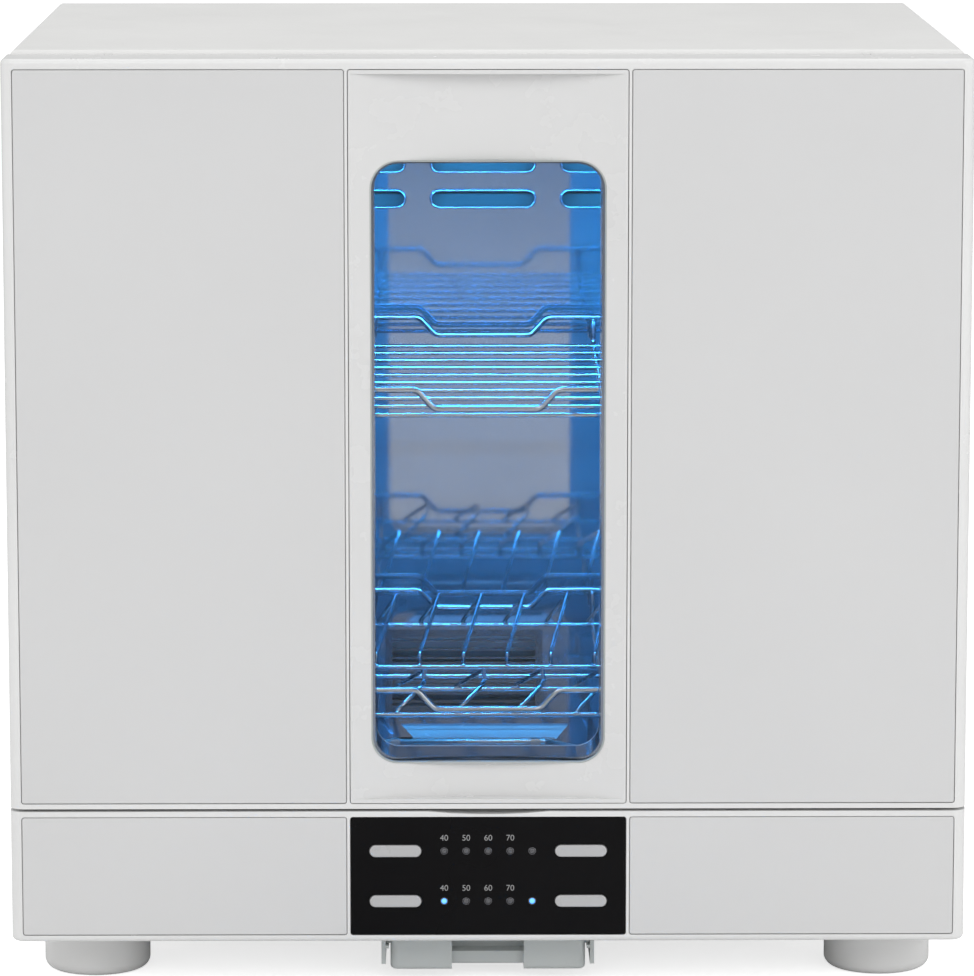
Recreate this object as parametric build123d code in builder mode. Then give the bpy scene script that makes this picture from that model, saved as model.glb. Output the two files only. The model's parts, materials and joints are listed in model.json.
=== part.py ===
from build123d import *
import os

# A free-standing dish sterilizer cabinet: a lift-up door with a concave window panel, a steel
# chamber with two wire racks, a lamp under its ceiling, a hot-air blower in the base and a drip
# tray under it. Millimetres, +Z up, the door faces -Y, the origin is under the middle of the
# cabinet, level with the soles of its feet.

# ---------------------------------------------------------------- overall sizes
front_width = 484.0          # door and base
body_inset = 2.0             # cabinet behind the door is this much narrower at each side
depth = 390.0
foot_height = 26.0
base_height = 67.6
door_height = 379.3
door_thickness = 40.0
door_seam = 1.4              # gap between door and base
door_gap = 1.5               # gap between door and cabinet
cover_rise = 1.4             # top cover above the door's top edge

# ---------------------------------------------------------------- fits
seat_gap = 0.3               # pieces that lie in or on each other
running_gap = 0.05           # radial, shafts and pins that turn
slide_gap = 0.4              # around the buttons and the tray

# ---------------------------------------------------------------- front face
side_border = 5.8            # white edge outside the flat inserts
center_width = 140.0         # control panel and concave door panel
divider = 1.4                # white bar beside them
insert_gap = 0.4
insert_thickness = 2.0
insert_corner = 1.5
face_skin = 3.0              # front wall behind the inserts
base_border_low = 3.4
base_border_high = 2.8
door_border_low = 2.5
door_border_high = 5.0
front_corner = 7.0           # rounded vertical edges

# ---------------------------------------------------------------- base
shell_wall = 3.0
deck_thickness = 3.0
base_lower_round = 2.5
bottom_plate_thickness = 2.0
scoop_width = 61.0
scoop_depth = 1.5
scoop_reach = 13.0
intake_slot_length = 52.0    # slots under the blower
intake_slot_height = 4.0
intake_slot_pitch = 10.0
intake_slot_count = 5

# ---------------------------------------------------------------- control panel
panel_thickness = 3.0
panel_ledge = 3.0
button_width = 26.2
button_height = 6.1
button_proud = 1.0
button_travel = 1.2
button_flange = 1.5
button_flange_thickness = 1.2
button_x = 47.0
button_round = 0.8
stem_radius = 1.5
button_row_low = 21.1        # above the base's lower edge
button_row_pitch = 26.0
lamp_pitch = 11.16
lamp_columns = 5
lamp_radius = 1.5
board_width = 132.0
board_height = 52.0
board_thickness = 1.6
board_setback = 13.0
switch_size = 6.0
switch_height = 3.5
post_radius = 2.5
post_inset = 3.5             # post centre inside the board's edge
post_bore = 1.2
chip_size = 18.0
chip_x = -30.0
relay_width = 26.0
relay_height = 12.0
relay_x = 34.0
relay_rise = 8.0
buzzer_radius = 6.0
buzzer_x = 38.0
buzzer_drop = 12.0
board_parts_depth = 9.0

# ---------------------------------------------------------------- feet
foot_radius = 27.2
foot_side = 40.0             # foot centre inside the base's side
foot_inset = 58.0            # foot centre behind the front, and before the back
foot_round = 5.0
foot_wall = 3.0
foot_spigot_radius = 6.0
gland_side = 72.0            # cord opening inside the base's side
gland_rise = 20.0
gland_radius = 8.0
gland_proud = 1.0
gland_bore = 3.6
gland_collar = 2.0

# ---------------------------------------------------------------- drip tray
tray_width = 99.8
tray_length = 153.0
tray_setback = 22.0
tray_floor_gap = 5.9         # above the ground
tray_height = 17.5
tray_wall = 2.0
tray_corner = 4.0
tray_grip_width = 36.8
tray_grip_depth = 14.0
tray_shelf_setback = 4.0
tray_shelf_low = 2.9
tray_shelf_height = 5.9
tray_flange = 2.0
tray_flange_thickness = 1.5
tray_flange_drop = 7.2       # flange below the base
rail_wall = 2.2
rail_lip = 4.0
rail_height = 17.1
rail_lip_setback = 2.0

# ---------------------------------------------------------------- cabinet body
frame_thickness = 5.0
frame_side = 30.0
opening_low = 14.9           # above the base deck
opening_head = 5.0           # below the chamber's ceiling
opening_corner = 6.0
panel_wall = 2.5
panel_return = 12.0          # side panel's folded front edge
cover_thickness = 3.5
cover_skirt = 20.0
cover_round = 3.0
rear_slot_length = 46.0
rear_slot_height = 5.0
rear_slot_pitch_x = 62.0
rear_slot_pitch_z = 14.0
rear_slot_columns = 5
rear_slot_rows = 4
rear_slots_below_top = 60.0

# ---------------------------------------------------------------- chamber liner
liner_sheet = 1.0
liner_floor_sheet = 1.2
side_cavity = 25.0           # between the liner and the cabinet's side
rear_cavity = 23.0           # behind the liner
ceiling_cavity = 30.7        # from the chamber to the cabinet's top
liner_return = 10.0          # liner wall's folded front edge
vent_length = 58.8
vent_height = 9.7
vent_pitch_x = 73.5
vent_pitch_z = 20.0
vent_columns = 5
vent_rows = 3
vent_drop = 38.4             # top row below the ceiling
outlet_x = -11.0
outlet_width = 86.0
outlet_height = 19.0
outlet_low = 3.2
grille_lap = 2.0             # grille's frame over the outlet's edge
grille_rim = 2.0
grille_sheet = 1.2
grille_bar = 1.2
grille_pitch = 5.0
grille_bars = 3
sump_width = 92.0
sump_narrow = 76.0
sump_setback = 140.0
sump_length = 42.0
sump_depth = 3.0
drain_slot_length = 18.0
drain_slot_height = 5.0
drain_slot_pitch = 27.8

# ---------------------------------------------------------------- racks
wire_sides = 6               # flats round each wire
rim_radius = 1.7
wire_radius = 1.2
cross_radius = 1.5
rack_side_gap = 9.0          # rack to liner wall
rack_front_gap = 4.5         # rack behind the front frame
rack_rear_gap = 22.0         # rack before the liner's back
rack_corner = 12.0
rim_drop_half = 27.0         # half the flat bottom of the rim's dip
rim_drop_run = 9.0
rim_drop = 10.0
rim_bend = 6.0
rack_depth = 15.0            # rim above the floor wires
cross_edge = 6.0             # outermost cross wire inside the rim
cross_pitch = 69.0
cross_count = 3              # each side of the middle
upper_rack_rise = 207.2      # rim above the chamber floor
lower_rack_rise = 51.2
upper_wire_gap = 13.0        # first floor wire behind the rim
upper_wire_pitch = 30.0
wire_edge = 8.0              # least distance of the last one to the rim
loop_wire_gap = 11.0         # lower floor wires behind the rim
loop_wire_span = 68.0
middle_wire_gap = 36.0
divider_wire_gap = 26.0
back_wire_gap = 28.0         # last lower floor wire before the rim
divider_pitch = 23.6
divider_edge = 22.0          # dividers inside the outermost cross wires
divider_height = 27.0
divider_lean = 10.5
divider_back_run = 55.0      # divider's top bend before its rear foot
divider_stem = 4.8
loop_pitch = 31.0
loop_edge = 28.0
loop_slope = 16.0
loop_bulge = 14.0
loop_rise = 11.0
support_front = 10.0
support_rear = 10.5
support_height = 14.0
support_shelf = 10.0
support_sheet = 1.5

# ---------------------------------------------------------------- lamp and hot air
tube_radius = 7.8
tube_length = 290.0
cap_length = 9.0
tube_setback = 84.0
tube_drop = 15.0             # tube centre below the ceiling
holder_width = 14.0
holder_depth = 26.0
reflector_width = 46.0
reflector_sheet = 0.8
reflector_inset = 4.0        # shorter than the tube at each end
holder_margin = 4.0
holder_round = 3.0
ballast_x = 120.0
ballast_rear = 140.0         # middle of the ballast before the cabinet's back
ballast_length = 96.0
ballast_width = 42.0
ballast_height = 30.0
ballast_foot_length = 122.0
ballast_foot_width = 30.0
ballast_foot_sheet = 2.0
ballast_hole_span = 110.0
ballast_hole_radius = 2.2
ballast_round = 3.0
blower_x = -11.0
blower_rear = 128.0          # blower's axis before the cabinet's back
scroll_radius = 46.0
scroll_height = 34.0
scroll_wall = 2.0
scroll_neck = 8.0            # outlet beyond the scroll
wheel_radius = 36.0
wheel_height = 24.0
blade_count = 24
blade_thickness = 0.9
blade_depth = 8.0
blade_turn = 32.0
wheel_disc = 1.5
wheel_ring = 2.0
wheel_hub = 8.0
wheel_clearance = 4.0
shaft_radius = 2.0
motor_radius = 21.0
motor_height = 20.0
motor_round = 3.0
motor_lug_radius = 4.0
motor_lug_reach = 3.0
motor_lug_count = 3
motor_flange = 2.5
duct_sheet = 1.2
duct_height = 28.0
duct_head = 6.0              # duct above the outlet
heater_gap = 14.0            # heater behind the duct's mouth
heater_depth = 16.0
fin_depth = 20.0
fin_inset = 8.0
heater_bar = 3.0
heater_bar_inset = 6.0
fin_count = 12
fin_thickness = 1.2
drain_radius = 7.0
drain_wall = 1.5
drain_flange = 2.0
drain_flange_wall = 3.0
drain_gap = 1.0              # tube's lower end above the tray
sensor_setback = 129.0
sensor_rise = 8.0
sensor_radius = 1.6
sensor_bend = 5.0
sensor_half = 43.0           # half the straight run
sensor_tail_x = (15.0, 23.0)
sensor_tail_y = (16.0, 34.0)
sensor_clip_inset = 6.0
sensor_clip_width = 4.0
sensor_clip_length = 6.0
sensor_clip_height = 10.0

# ---------------------------------------------------------------- door
hinge_inset = 7.0            # hinge axis from the door's back and top
hinge_side = 50.0            # hinge inside the cabinet's side
pin_radius = 2.0
pin_length = 18.0
ear_thickness = 3.0
ear_radius = 5.0
ear_height = 8.0
bracket_width = 26.0
bracket_height = 14.0
bracket_drop = 3.0
bracket_sheet = 2.0
notch_margin = 0.5
top_rail = 15.0
door_top_round = 2.5
concave_sag = 8.0
concave_edge = 1.2
concave_thickness = 3.0
center_panel_depth = 12.0
center_ledge = 2.0
window_width = 118.0
window_drop = 50.8           # window's upper edge below the door's
window_rise = 22.5           # window's lower edge above the door's
window_corner = 14.0
window_inset = 0.6
window_thickness = 4.0
surround_wall = 5.0
surround_overlap = 3.0
inner_panel_thickness = 2.5
gasket_width = 8.0
gasket_groove = 1.5
gasket_margin = 3.0          # seal outside the cabinet's opening
magnet_width = 8.0
magnet_height = 30.0
magnet_depth = 4.0
catch_sheet = 1.0
magnet_side_gap = 4.5
magnet_rise = 24.0
gasket_low_trim = 2.0        # seal's lower run nearer the opening

# ---------------------------------------------------------------- places worked out from them
body_width = front_width - 2 * body_inset
front_y = -depth / 2
base_low = foot_height
base_top = base_low + base_height
door_low = base_top + door_seam
door_top = door_low + door_height
cover_top = door_top + cover_rise
body_setback = door_thickness + door_gap
frame_back = body_setback + frame_thickness
face_depth = insert_thickness + face_skin
insert_inner = center_width / 2 + divider
insert_outer = front_width / 2 - side_border
insert_mid = (insert_inner + insert_outer) / 2
insert_span = insert_outer - insert_inner
chamber_floor = base_top + liner_floor_sheet
chamber_top = cover_top - ceiling_cavity
liner_width = body_width - 2 * side_cavity
liner_back_setback = depth - rear_cavity
foot_x = front_width / 2 - foot_side
hinge_x = body_width / 2 - hinge_side
blower_setback = depth - blower_rear
hinge_y = front_y + door_thickness - hinge_inset
hinge_z = door_top - hinge_inset
cover_under = cover_top - cover_thickness
skirt_low = cover_top - cover_skirt
opening_half = body_width / 2 - frame_side
opening_z = base_top + opening_low
opening_height = chamber_top - opening_head - opening_z
window_height = door_height - window_rise - window_drop
rack_width = liner_width - 2 * rack_side_gap
rack_front = frame_back + rack_front_gap
rack_back = liner_back_setback - rack_rear_gap

os.makedirs("parts", exist_ok=True)


def save(piece, name):
    """Label a finished piece and write it to its own file."""
    piece.part.label = name
    export_step(piece.part, f"parts/{name}.step")


def behind(setback):
    """Upright plane this far behind the door's face; its own x and y are the cabinet's X and Z."""
    return Plane.XZ.offset(-(front_y + setback))


def level(height):
    """Flat plane at this height."""
    return Plane.XY.offset(height)


def wire_along(points, radius, bend):
    """Sweep a wire through the points, into the piece that is being built."""
    with BuildLine() as route:
        FilletPolyline(*points, radius=bend)
    with BuildSketch(Plane(origin=route.line @ 0, z_dir=route.line % 0)) as section:
        RegularPolygon(radius, wire_sides)
    sweep(sections=section.sketch, path=route.line)


# ================================================================ base
insert_low = base_low + base_border_low
insert_high = base_top - base_border_high
base_insert_mid = (insert_low + insert_high) / 2
base_insert_height = insert_high - insert_low
duct_half = outlet_width / 2 + duct_sheet
duct_front = liner_back_setback + liner_sheet
duct_back = depth - shell_wall
sump_mid = sump_setback + sump_length / 2
button_low_z = base_low + button_row_low
button_places = [(side * button_x, button_low_z + row * button_row_pitch)
                 for side in (-1, 1) for row in (0, 1)]
lamp_places = [((column - (lamp_columns - 1) / 2) * lamp_pitch, button_low_z + row * button_row_pitch)
               for row in (0, 1) for column in range(lamp_columns)]
foot_places = [(side_x * foot_x, side_y * (depth / 2 - foot_inset))
               for side_x in (-1, 1) for side_y in (-1, 1)]
gland_x = front_width / 2 - gland_side
gland_z = base_low + gland_rise

with BuildPart() as base_housing:
    with BuildSketch(level(base_low)):
        RectangleRounded(front_width, depth, front_corner)
    extrude(amount=base_height)
    fillet(base_housing.edges().group_by(Axis.Z)[0], radius=base_lower_round)
    with BuildSketch(level(base_low)):
        with Locations((0, (face_depth - shell_wall) / 2)):
            RectangleRounded(front_width - 2 * shell_wall, depth - face_depth - shell_wall,
                             front_corner - shell_wall)
    extrude(amount=base_height - deck_thickness, mode=Mode.SUBTRACT)
    with BuildSketch(behind(0)):
        with Locations((-insert_mid, base_insert_mid), (insert_mid, base_insert_mid)):
            RectangleRounded(insert_span, base_insert_height, insert_corner)
    extrude(amount=-insert_thickness, mode=Mode.SUBTRACT)
    with BuildSketch(behind(0)):
        with Locations((0, base_insert_mid)):
            RectangleRounded(center_width, base_insert_height, insert_corner)
    extrude(amount=-panel_thickness, mode=Mode.SUBTRACT)
    with BuildSketch(behind(0)):
        with Locations((0, base_insert_mid)):
            Rectangle(center_width - 2 * panel_ledge, base_insert_height - 2 * panel_ledge)
    extrude(amount=-face_depth, mode=Mode.SUBTRACT)
    with BuildSketch(behind(0)):
        with BuildLine():
            Line((-scoop_width / 2, base_top), (scoop_width / 2, base_top))
            ThreePointArc((-scoop_width / 2, base_top), (0, base_top - scoop_depth),
                          (scoop_width / 2, base_top))
        make_face()
    extrude(amount=-scoop_reach, mode=Mode.SUBTRACT)
    with BuildSketch(level(base_top)):
        with Locations((outlet_x, front_y + (duct_front + duct_back) / 2)):
            Rectangle(2 * (duct_half + seat_gap), duct_back - duct_front)
        with Locations((outlet_x, front_y + sump_mid)):
            Rectangle(sump_width + 4 * liner_floor_sheet, sump_length + 4 * liner_floor_sheet)
    extrude(amount=-deck_thickness, mode=Mode.SUBTRACT)
    with BuildSketch(behind(depth)):
        with Locations((gland_x, gland_z)):
            Circle(gland_radius)
    extrude(amount=shell_wall, mode=Mode.SUBTRACT)
save(base_housing, "base_housing")

plate_low = base_low
plate_top = plate_low + bottom_plate_thickness
with BuildPart() as bottom_plate:
    with BuildSketch(level(plate_low)):
        with Locations((0, (face_depth - shell_wall) / 2)):
            RectangleRounded(front_width - 2 * (shell_wall + seat_gap),
                             depth - face_depth - shell_wall - 2 * seat_gap, front_corner - shell_wall)
        with Locations(*foot_places):
            Circle(foot_spigot_radius + seat_gap, mode=Mode.SUBTRACT)
        with Locations((outlet_x, front_y + sump_mid)):
            Circle(drain_radius + slide_gap, mode=Mode.SUBTRACT)
        with Locations((blower_x, front_y + blower_setback)):
            with GridLocations(0, intake_slot_pitch, 1, intake_slot_count):
                SlotOverall(intake_slot_length, intake_slot_height, mode=Mode.SUBTRACT)
    extrude(amount=bottom_plate_thickness)
save(bottom_plate, "bottom_plate")

for corner_name, (foot_place_x, foot_place_y) in zip(
        ("front_left", "rear_left", "front_right", "rear_right"), foot_places):
    with BuildPart() as foot:
        with BuildSketch(Plane.XZ):
            with BuildLine():
                Polyline((0, 0), (foot_radius - foot_round, 0))
                RadiusArc((foot_radius - foot_round, 0), (foot_radius, foot_round), -foot_round)
                Polyline((foot_radius, foot_round), (foot_radius, foot_height),
                         (foot_radius - foot_wall, foot_height),
                         (foot_radius - foot_wall, foot_round + foot_wall),
                         (foot_spigot_radius, foot_round + foot_wall),
                         (foot_spigot_radius, plate_top), (0, plate_top), (0, 0))
            make_face()
        revolve(axis=Axis.Z)
    foot.part.locate(Location((foot_place_x, foot_place_y, 0)))
    save(foot, f"foot_{corner_name}")

for side_name, side in (("left", -1), ("right", 1)):
    with BuildPart() as base_insert:
        with BuildSketch(behind(0)):
            with Locations((side * insert_mid, base_insert_mid)):
                RectangleRounded(insert_span - 2 * insert_gap, base_insert_height - 2 * insert_gap,
                                 insert_corner - insert_gap)
        extrude(amount=-insert_thickness)
        fillet(base_insert.edges().group_by(Axis.Y)[0], radius=insert_gap)
    save(base_insert, f"base_insert_{side_name}")

# ---------------------------------------------------------------- controls
with BuildPart() as control_panel:
    with BuildSketch(behind(0)):
        with Locations((0, base_insert_mid)):
            RectangleRounded(center_width - 2 * insert_gap, base_insert_height - 2 * insert_gap,
                             insert_corner - insert_gap)
        with Locations(*button_places):
            SlotOverall(button_width + 2 * slide_gap, button_height + 2 * slide_gap, mode=Mode.SUBTRACT)
        with Locations(*lamp_places):
            Circle(lamp_radius + running_gap, mode=Mode.SUBTRACT)
    extrude(amount=-panel_thickness)
    with BuildSketch(behind(panel_thickness)):
        with Locations((0, base_insert_mid)):
            with GridLocations(board_width - 2 * post_inset, board_height - 2 * post_inset, 2, 2):
                Circle(post_radius)
    extrude(amount=-(board_setback - panel_thickness))
save(control_panel, "control_panel")

with BuildPart() as control_board:
    with BuildSketch(behind(board_setback)):
        with Locations((0, base_insert_mid)):
            Rectangle(board_width, board_height)
            with GridLocations(board_width - 2 * post_inset, board_height - 2 * post_inset, 2, 2):
                Circle(post_bore, mode=Mode.SUBTRACT)
    extrude(amount=-board_thickness)
    with BuildSketch(behind(board_setback + board_thickness)):
        with Locations((chip_x, base_insert_mid)):
            Rectangle(chip_size, chip_size)
        with Locations((relay_x, base_insert_mid + relay_rise)):
            Rectangle(relay_width, relay_height)
        with Locations((buzzer_x, base_insert_mid - buzzer_drop)):
            Circle(buzzer_radius)
    extrude(amount=-board_parts_depth)
save(control_board, "control_board")

stem_end = board_setback - switch_height - button_travel - seat_gap
with BuildPart() as tact_switches:
    with BuildSketch(behind(board_setback)):
        with Locations(*button_places):
            Rectangle(switch_size, switch_size)
    extrude(amount=switch_height)
save(tact_switches, "tact_switches")

with BuildPart() as indicator_lamps:
    with BuildSketch(behind(board_setback)):
        with Locations(*lamp_places):
            Circle(lamp_radius)
    extrude(amount=board_setback)
    chamfer(indicator_lamps.edges().group_by(Axis.Y)[0], length=lamp_radius / 3)
save(indicator_lamps, "indicator_lamps")

for button_name, button_place in zip(("lower_left", "upper_left", "lower_right", "upper_right"),
                                     button_places):
    with BuildPart() as button:
        with BuildSketch(behind(-button_proud)):
            with Locations(button_place):
                SlotOverall(button_width, button_height)
        extrude(amount=-(button_proud + panel_thickness + seat_gap + button_flange_thickness))
        fillet(button.edges().group_by(Axis.Y)[0], radius=button_round)
        with BuildSketch(behind(panel_thickness + seat_gap)):
            with Locations(button_place):
                SlotOverall(button_width + 2 * button_flange, button_height + 2 * button_flange)
        extrude(amount=-button_flange_thickness)
        with BuildSketch(behind(panel_thickness)):
            with Locations(button_place):
                Circle(stem_radius)
        extrude(amount=-(stem_end - panel_thickness))
    save(button, f"button_{button_name}")

# ---------------------------------------------------------------- drip tray and its rails
tray_back = tray_setback + tray_length
tray_low = tray_floor_gap
tray_top = tray_low + tray_height
flange_low = base_low - tray_flange_drop
rail_inner = tray_width / 2 + tray_flange + slide_gap
with BuildPart() as drip_tray:
    with BuildSketch(level(tray_low)):
        with Locations((0, front_y + (tray_setback + tray_back) / 2)):
            RectangleRounded(tray_width, tray_length, tray_corner)
    extrude(amount=tray_height)
    fillet(drip_tray.edges().group_by(Axis.Z)[0], radius=tray_wall)
    with BuildSketch(level(flange_low)):
        with Locations((0, front_y + (tray_setback + tray_corner + tray_back) / 2)):
            Rectangle(tray_width + 2 * tray_flange, tray_length - tray_corner)
    extrude(amount=tray_flange_thickness)
    with BuildSketch(level(tray_top)):
        with Locations((0, front_y + tray_setback + tray_grip_depth / 2)):
            Rectangle(tray_grip_width, tray_grip_depth)
    extrude(amount=-tray_height, mode=Mode.SUBTRACT)
    with BuildSketch(level(tray_low + tray_shelf_low)):
        with Locations((0, front_y + tray_setback + (tray_shelf_setback + tray_grip_depth) / 2)):
            Rectangle(tray_grip_width + tray_wall, tray_grip_depth - tray_shelf_setback)
    extrude(amount=tray_shelf_height)
    with BuildSketch(level(tray_top)):
        cavity_front = tray_setback + tray_grip_depth + tray_wall
        with Locations((0, front_y + (cavity_front + tray_back - tray_wall) / 2)):
            Rectangle(tray_width - 2 * tray_wall, tray_back - tray_wall - cavity_front)
        pocket_inner = tray_grip_width / 2 + tray_wall
        pocket_outer = tray_width / 2 - tray_wall
        pocket_x = (pocket_inner + pocket_outer) / 2
        pocket_y = front_y + tray_setback + tray_wall + tray_grip_depth / 2
        with Locations((-pocket_x, pocket_y), (pocket_x, pocket_y)):
            Rectangle(pocket_outer - pocket_inner, tray_grip_depth)
    extrude(amount=-(tray_height - tray_wall), mode=Mode.SUBTRACT)
save(drip_tray, "drip_tray")

with BuildPart() as tray_rails:
    for side in (-1, 1):
        with BuildSketch(behind(tray_setback)):
            lip_edge = side * (rail_inner - rail_lip + slide_gap)
            with BuildLine():
                Polyline((side * rail_inner, base_low),
                         (side * rail_inner, flange_low - seat_gap),
                         (lip_edge + side * rail_lip_setback, flange_low - seat_gap),
                         (lip_edge + side * rail_lip_setback,
                          flange_low - seat_gap - tray_flange_thickness),
                         (side * rail_inner, flange_low - seat_gap - tray_flange_thickness),
                         (side * rail_inner, base_low - rail_height),
                         (side * (rail_inner + rail_wall), base_low - rail_height),
                         (side * (rail_inner + rail_wall), base_low), close=True)
            make_face()
        extrude(amount=-tray_length)
save(tray_rails, "tray_rails")

# ================================================================ cabinet body
with BuildPart() as front_frame:
    with BuildSketch(behind(body_setback)):
        with Locations((0, (base_top + cover_under) / 2)):
            Rectangle(body_width, cover_under - base_top)
        with Locations((0, opening_z + opening_height / 2)):
            RectangleRounded(2 * opening_half, opening_height, opening_corner, mode=Mode.SUBTRACT)
        with Locations((-hinge_x, hinge_z), (hinge_x, hinge_z)):
            Rectangle(ear_thickness + 2 * seat_gap, ear_height + 2 * seat_gap, mode=Mode.SUBTRACT)
    extrude(amount=-frame_thickness)
    magnet_x = front_width / 2 - shell_wall - magnet_width / 2 - magnet_side_gap
    magnet_z = door_low + magnet_rise
    with BuildSketch(behind(body_setback)):
        with Locations((-magnet_x, magnet_z), (magnet_x, magnet_z)):
            Rectangle(magnet_width, magnet_height)
    extrude(amount=-catch_sheet, mode=Mode.SUBTRACT)
save(front_frame, "front_frame")

with BuildPart() as catch_plates:
    with BuildSketch(behind(body_setback)):
        with Locations((-magnet_x, magnet_z), (magnet_x, magnet_z)):
            Rectangle(magnet_width - 2 * seat_gap, magnet_height - 2 * seat_gap)
    extrude(amount=-catch_sheet)
save(catch_plates, "catch_plates")

side_mid = (frame_back + depth) / 2
for side_name, side in (("left", -1), ("right", 1)):
    with BuildPart() as side_panel:
        with BuildSketch(level(base_top)):
            with Locations((side * (body_width - panel_wall) / 2, front_y + side_mid)):
                Rectangle(panel_wall, depth - frame_back)
            with Locations((side * (body_width - panel_return) / 2, front_y + frame_back + panel_wall / 2)):
                Rectangle(panel_return, panel_wall)
        extrude(amount=skirt_low - base_top)
    save(side_panel, f"side_panel_{side_name}")

with BuildPart() as rear_cover:
    with BuildSketch(behind(depth - panel_wall)):
        with Locations((0, (base_top + skirt_low) / 2)):
            Rectangle(body_width - 2 * (panel_wall + seat_gap), skirt_low - base_top)
        with Locations((0, skirt_low - rear_slots_below_top)):
            with GridLocations(rear_slot_pitch_x, rear_slot_pitch_z, rear_slot_columns, rear_slot_rows):
                SlotOverall(rear_slot_length, rear_slot_height, mode=Mode.SUBTRACT)
    extrude(amount=-panel_wall)
save(rear_cover, "rear_cover")

with BuildPart() as top_cover:
    cover_mid = (body_setback + depth) / 2
    with BuildSketch(level(skirt_low)):
        with Locations((0, front_y + cover_mid)):
            Rectangle(body_width, depth - body_setback)
    extrude(amount=cover_skirt)
    fillet(top_cover.edges().filter_by(Axis.Z).group_by(Axis.Y)[-1], radius=cover_round)
    fillet(top_cover.edges().group_by(Axis.Z)[-1], radius=cover_round)
    with BuildSketch(level(skirt_low)):
        with Locations((0, front_y + cover_mid - shell_wall / 2)):
            Rectangle(body_width - 2 * shell_wall, depth - body_setback - shell_wall)
        with Locations((0, front_y + body_setback + frame_thickness / 2)):
            Rectangle(body_width, frame_thickness)
    extrude(amount=cover_under - skirt_low, mode=Mode.SUBTRACT)
save(top_cover, "top_cover")

with BuildPart() as hinge_brackets:
    for side in (-1, 1):
        with BuildSketch(Plane.YZ.offset(side * hinge_x - ear_thickness / 2)):
            with Locations((hinge_y, hinge_z)):
                Circle(ear_radius)
            ear_back = front_y + frame_back
            with Locations(((hinge_y + ear_back) / 2, hinge_z)):
                Rectangle(ear_back - hinge_y, ear_height)
            with Locations((hinge_y, hinge_z)):
                Circle(pin_radius + running_gap, mode=Mode.SUBTRACT)
        extrude(amount=ear_thickness)
        with BuildSketch(behind(frame_back)):
            with Locations((side * hinge_x, hinge_z - bracket_drop)):
                Rectangle(bracket_width, bracket_height)
        extrude(amount=-bracket_sheet)
save(hinge_brackets, "hinge_brackets")

# ================================================================ chamber liner
liner_mid = (frame_back + liner_back_setback) / 2
with BuildPart() as liner_back:
    with BuildSketch(behind(liner_back_setback)):
        with Locations((0, (chamber_floor + chamber_top) / 2)):
            Rectangle(liner_width, chamber_top - chamber_floor)
        with Locations((0, chamber_top - vent_drop - vent_pitch_z * (vent_rows - 1) / 2)):
            with GridLocations(vent_pitch_x, vent_pitch_z, vent_columns, vent_rows):
                SlotOverall(vent_length, vent_height, mode=Mode.SUBTRACT)
        with Locations((outlet_x, chamber_floor + outlet_low + outlet_height / 2)):
            Rectangle(outlet_width, outlet_height, mode=Mode.SUBTRACT)
    extrude(amount=-liner_sheet)
save(liner_back, "liner_back")

for side_name, side in (("left", -1), ("right", 1)):
    with BuildPart() as liner_side:
        with BuildSketch(level(chamber_floor)):
            with Locations((side * (liner_width / 2 + liner_sheet / 2), front_y + liner_mid + liner_sheet / 2)):
                Rectangle(liner_sheet, liner_back_setback - frame_back + liner_sheet)
            with Locations((side * (liner_width + liner_return) / 2, front_y + frame_back + liner_sheet / 2)):
                Rectangle(liner_return, liner_sheet)
        extrude(amount=chamber_top - chamber_floor)
    save(liner_side, f"liner_{side_name}")

with BuildPart() as liner_ceiling:
    with BuildSketch(level(chamber_top)):
        with Locations((0, front_y + liner_mid + liner_sheet / 2)):
            Rectangle(liner_width + 2 * liner_sheet, liner_back_setback - frame_back + liner_sheet)
    extrude(amount=liner_sheet)
save(liner_ceiling, "liner_ceiling")

with BuildPart() as liner_floor:
    with BuildSketch(level(base_top)):
        with Locations((0, front_y + liner_mid + liner_sheet / 2)):
            Rectangle(liner_width + 2 * liner_sheet, liner_back_setback - frame_back + liner_sheet)
    extrude(amount=liner_floor_sheet)
    with BuildSketch(level(base_top - sump_depth)):
        with Locations((outlet_x, front_y + sump_mid)):
            Rectangle(sump_width + 2 * liner_floor_sheet, sump_length + 2 * liner_floor_sheet)
    extrude(amount=sump_depth)
    with BuildSketch(level(chamber_floor)):
        with Locations((outlet_x, front_y + sump_mid)):
            with BuildLine():
                Polyline((-sump_narrow / 2, -sump_length / 2), (sump_narrow / 2, -sump_length / 2),
                         (sump_width / 2, sump_length / 2), (-sump_width / 2, sump_length / 2), close=True)
            make_face()
    extrude(amount=-sump_depth, mode=Mode.SUBTRACT)
    with BuildSketch(level(chamber_floor)):
        with Locations((outlet_x, front_y + sump_mid + sump_length / 2 - drain_slot_height)):
            with GridLocations(drain_slot_pitch, 0, 3, 1):
                SlotOverall(drain_slot_length, drain_slot_height, mode=Mode.ADD)
    extrude(amount=-(sump_depth + liner_floor_sheet), mode=Mode.SUBTRACT)
save(liner_floor, "liner_floor")

with BuildPart() as outlet_grille:
    grille_mid_z = chamber_floor + outlet_low + outlet_height / 2
    with BuildSketch(behind(liner_back_setback)):
        with Locations((outlet_x, grille_mid_z)):
            Rectangle(outlet_width + 2 * grille_lap, outlet_height + 2 * grille_lap)
            Rectangle(outlet_width - 2 * grille_rim, outlet_height - 2 * grille_rim, mode=Mode.SUBTRACT)
            with GridLocations(0, grille_pitch, 1, grille_bars):
                Rectangle(outlet_width, grille_bar)
    extrude(amount=grille_sheet)
save(outlet_grille, "outlet_grille")

# ---------------------------------------------------------------- racks
upper_rim_z = chamber_floor + upper_rack_rise
lower_rim_z = chamber_floor + lower_rack_rise


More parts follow.
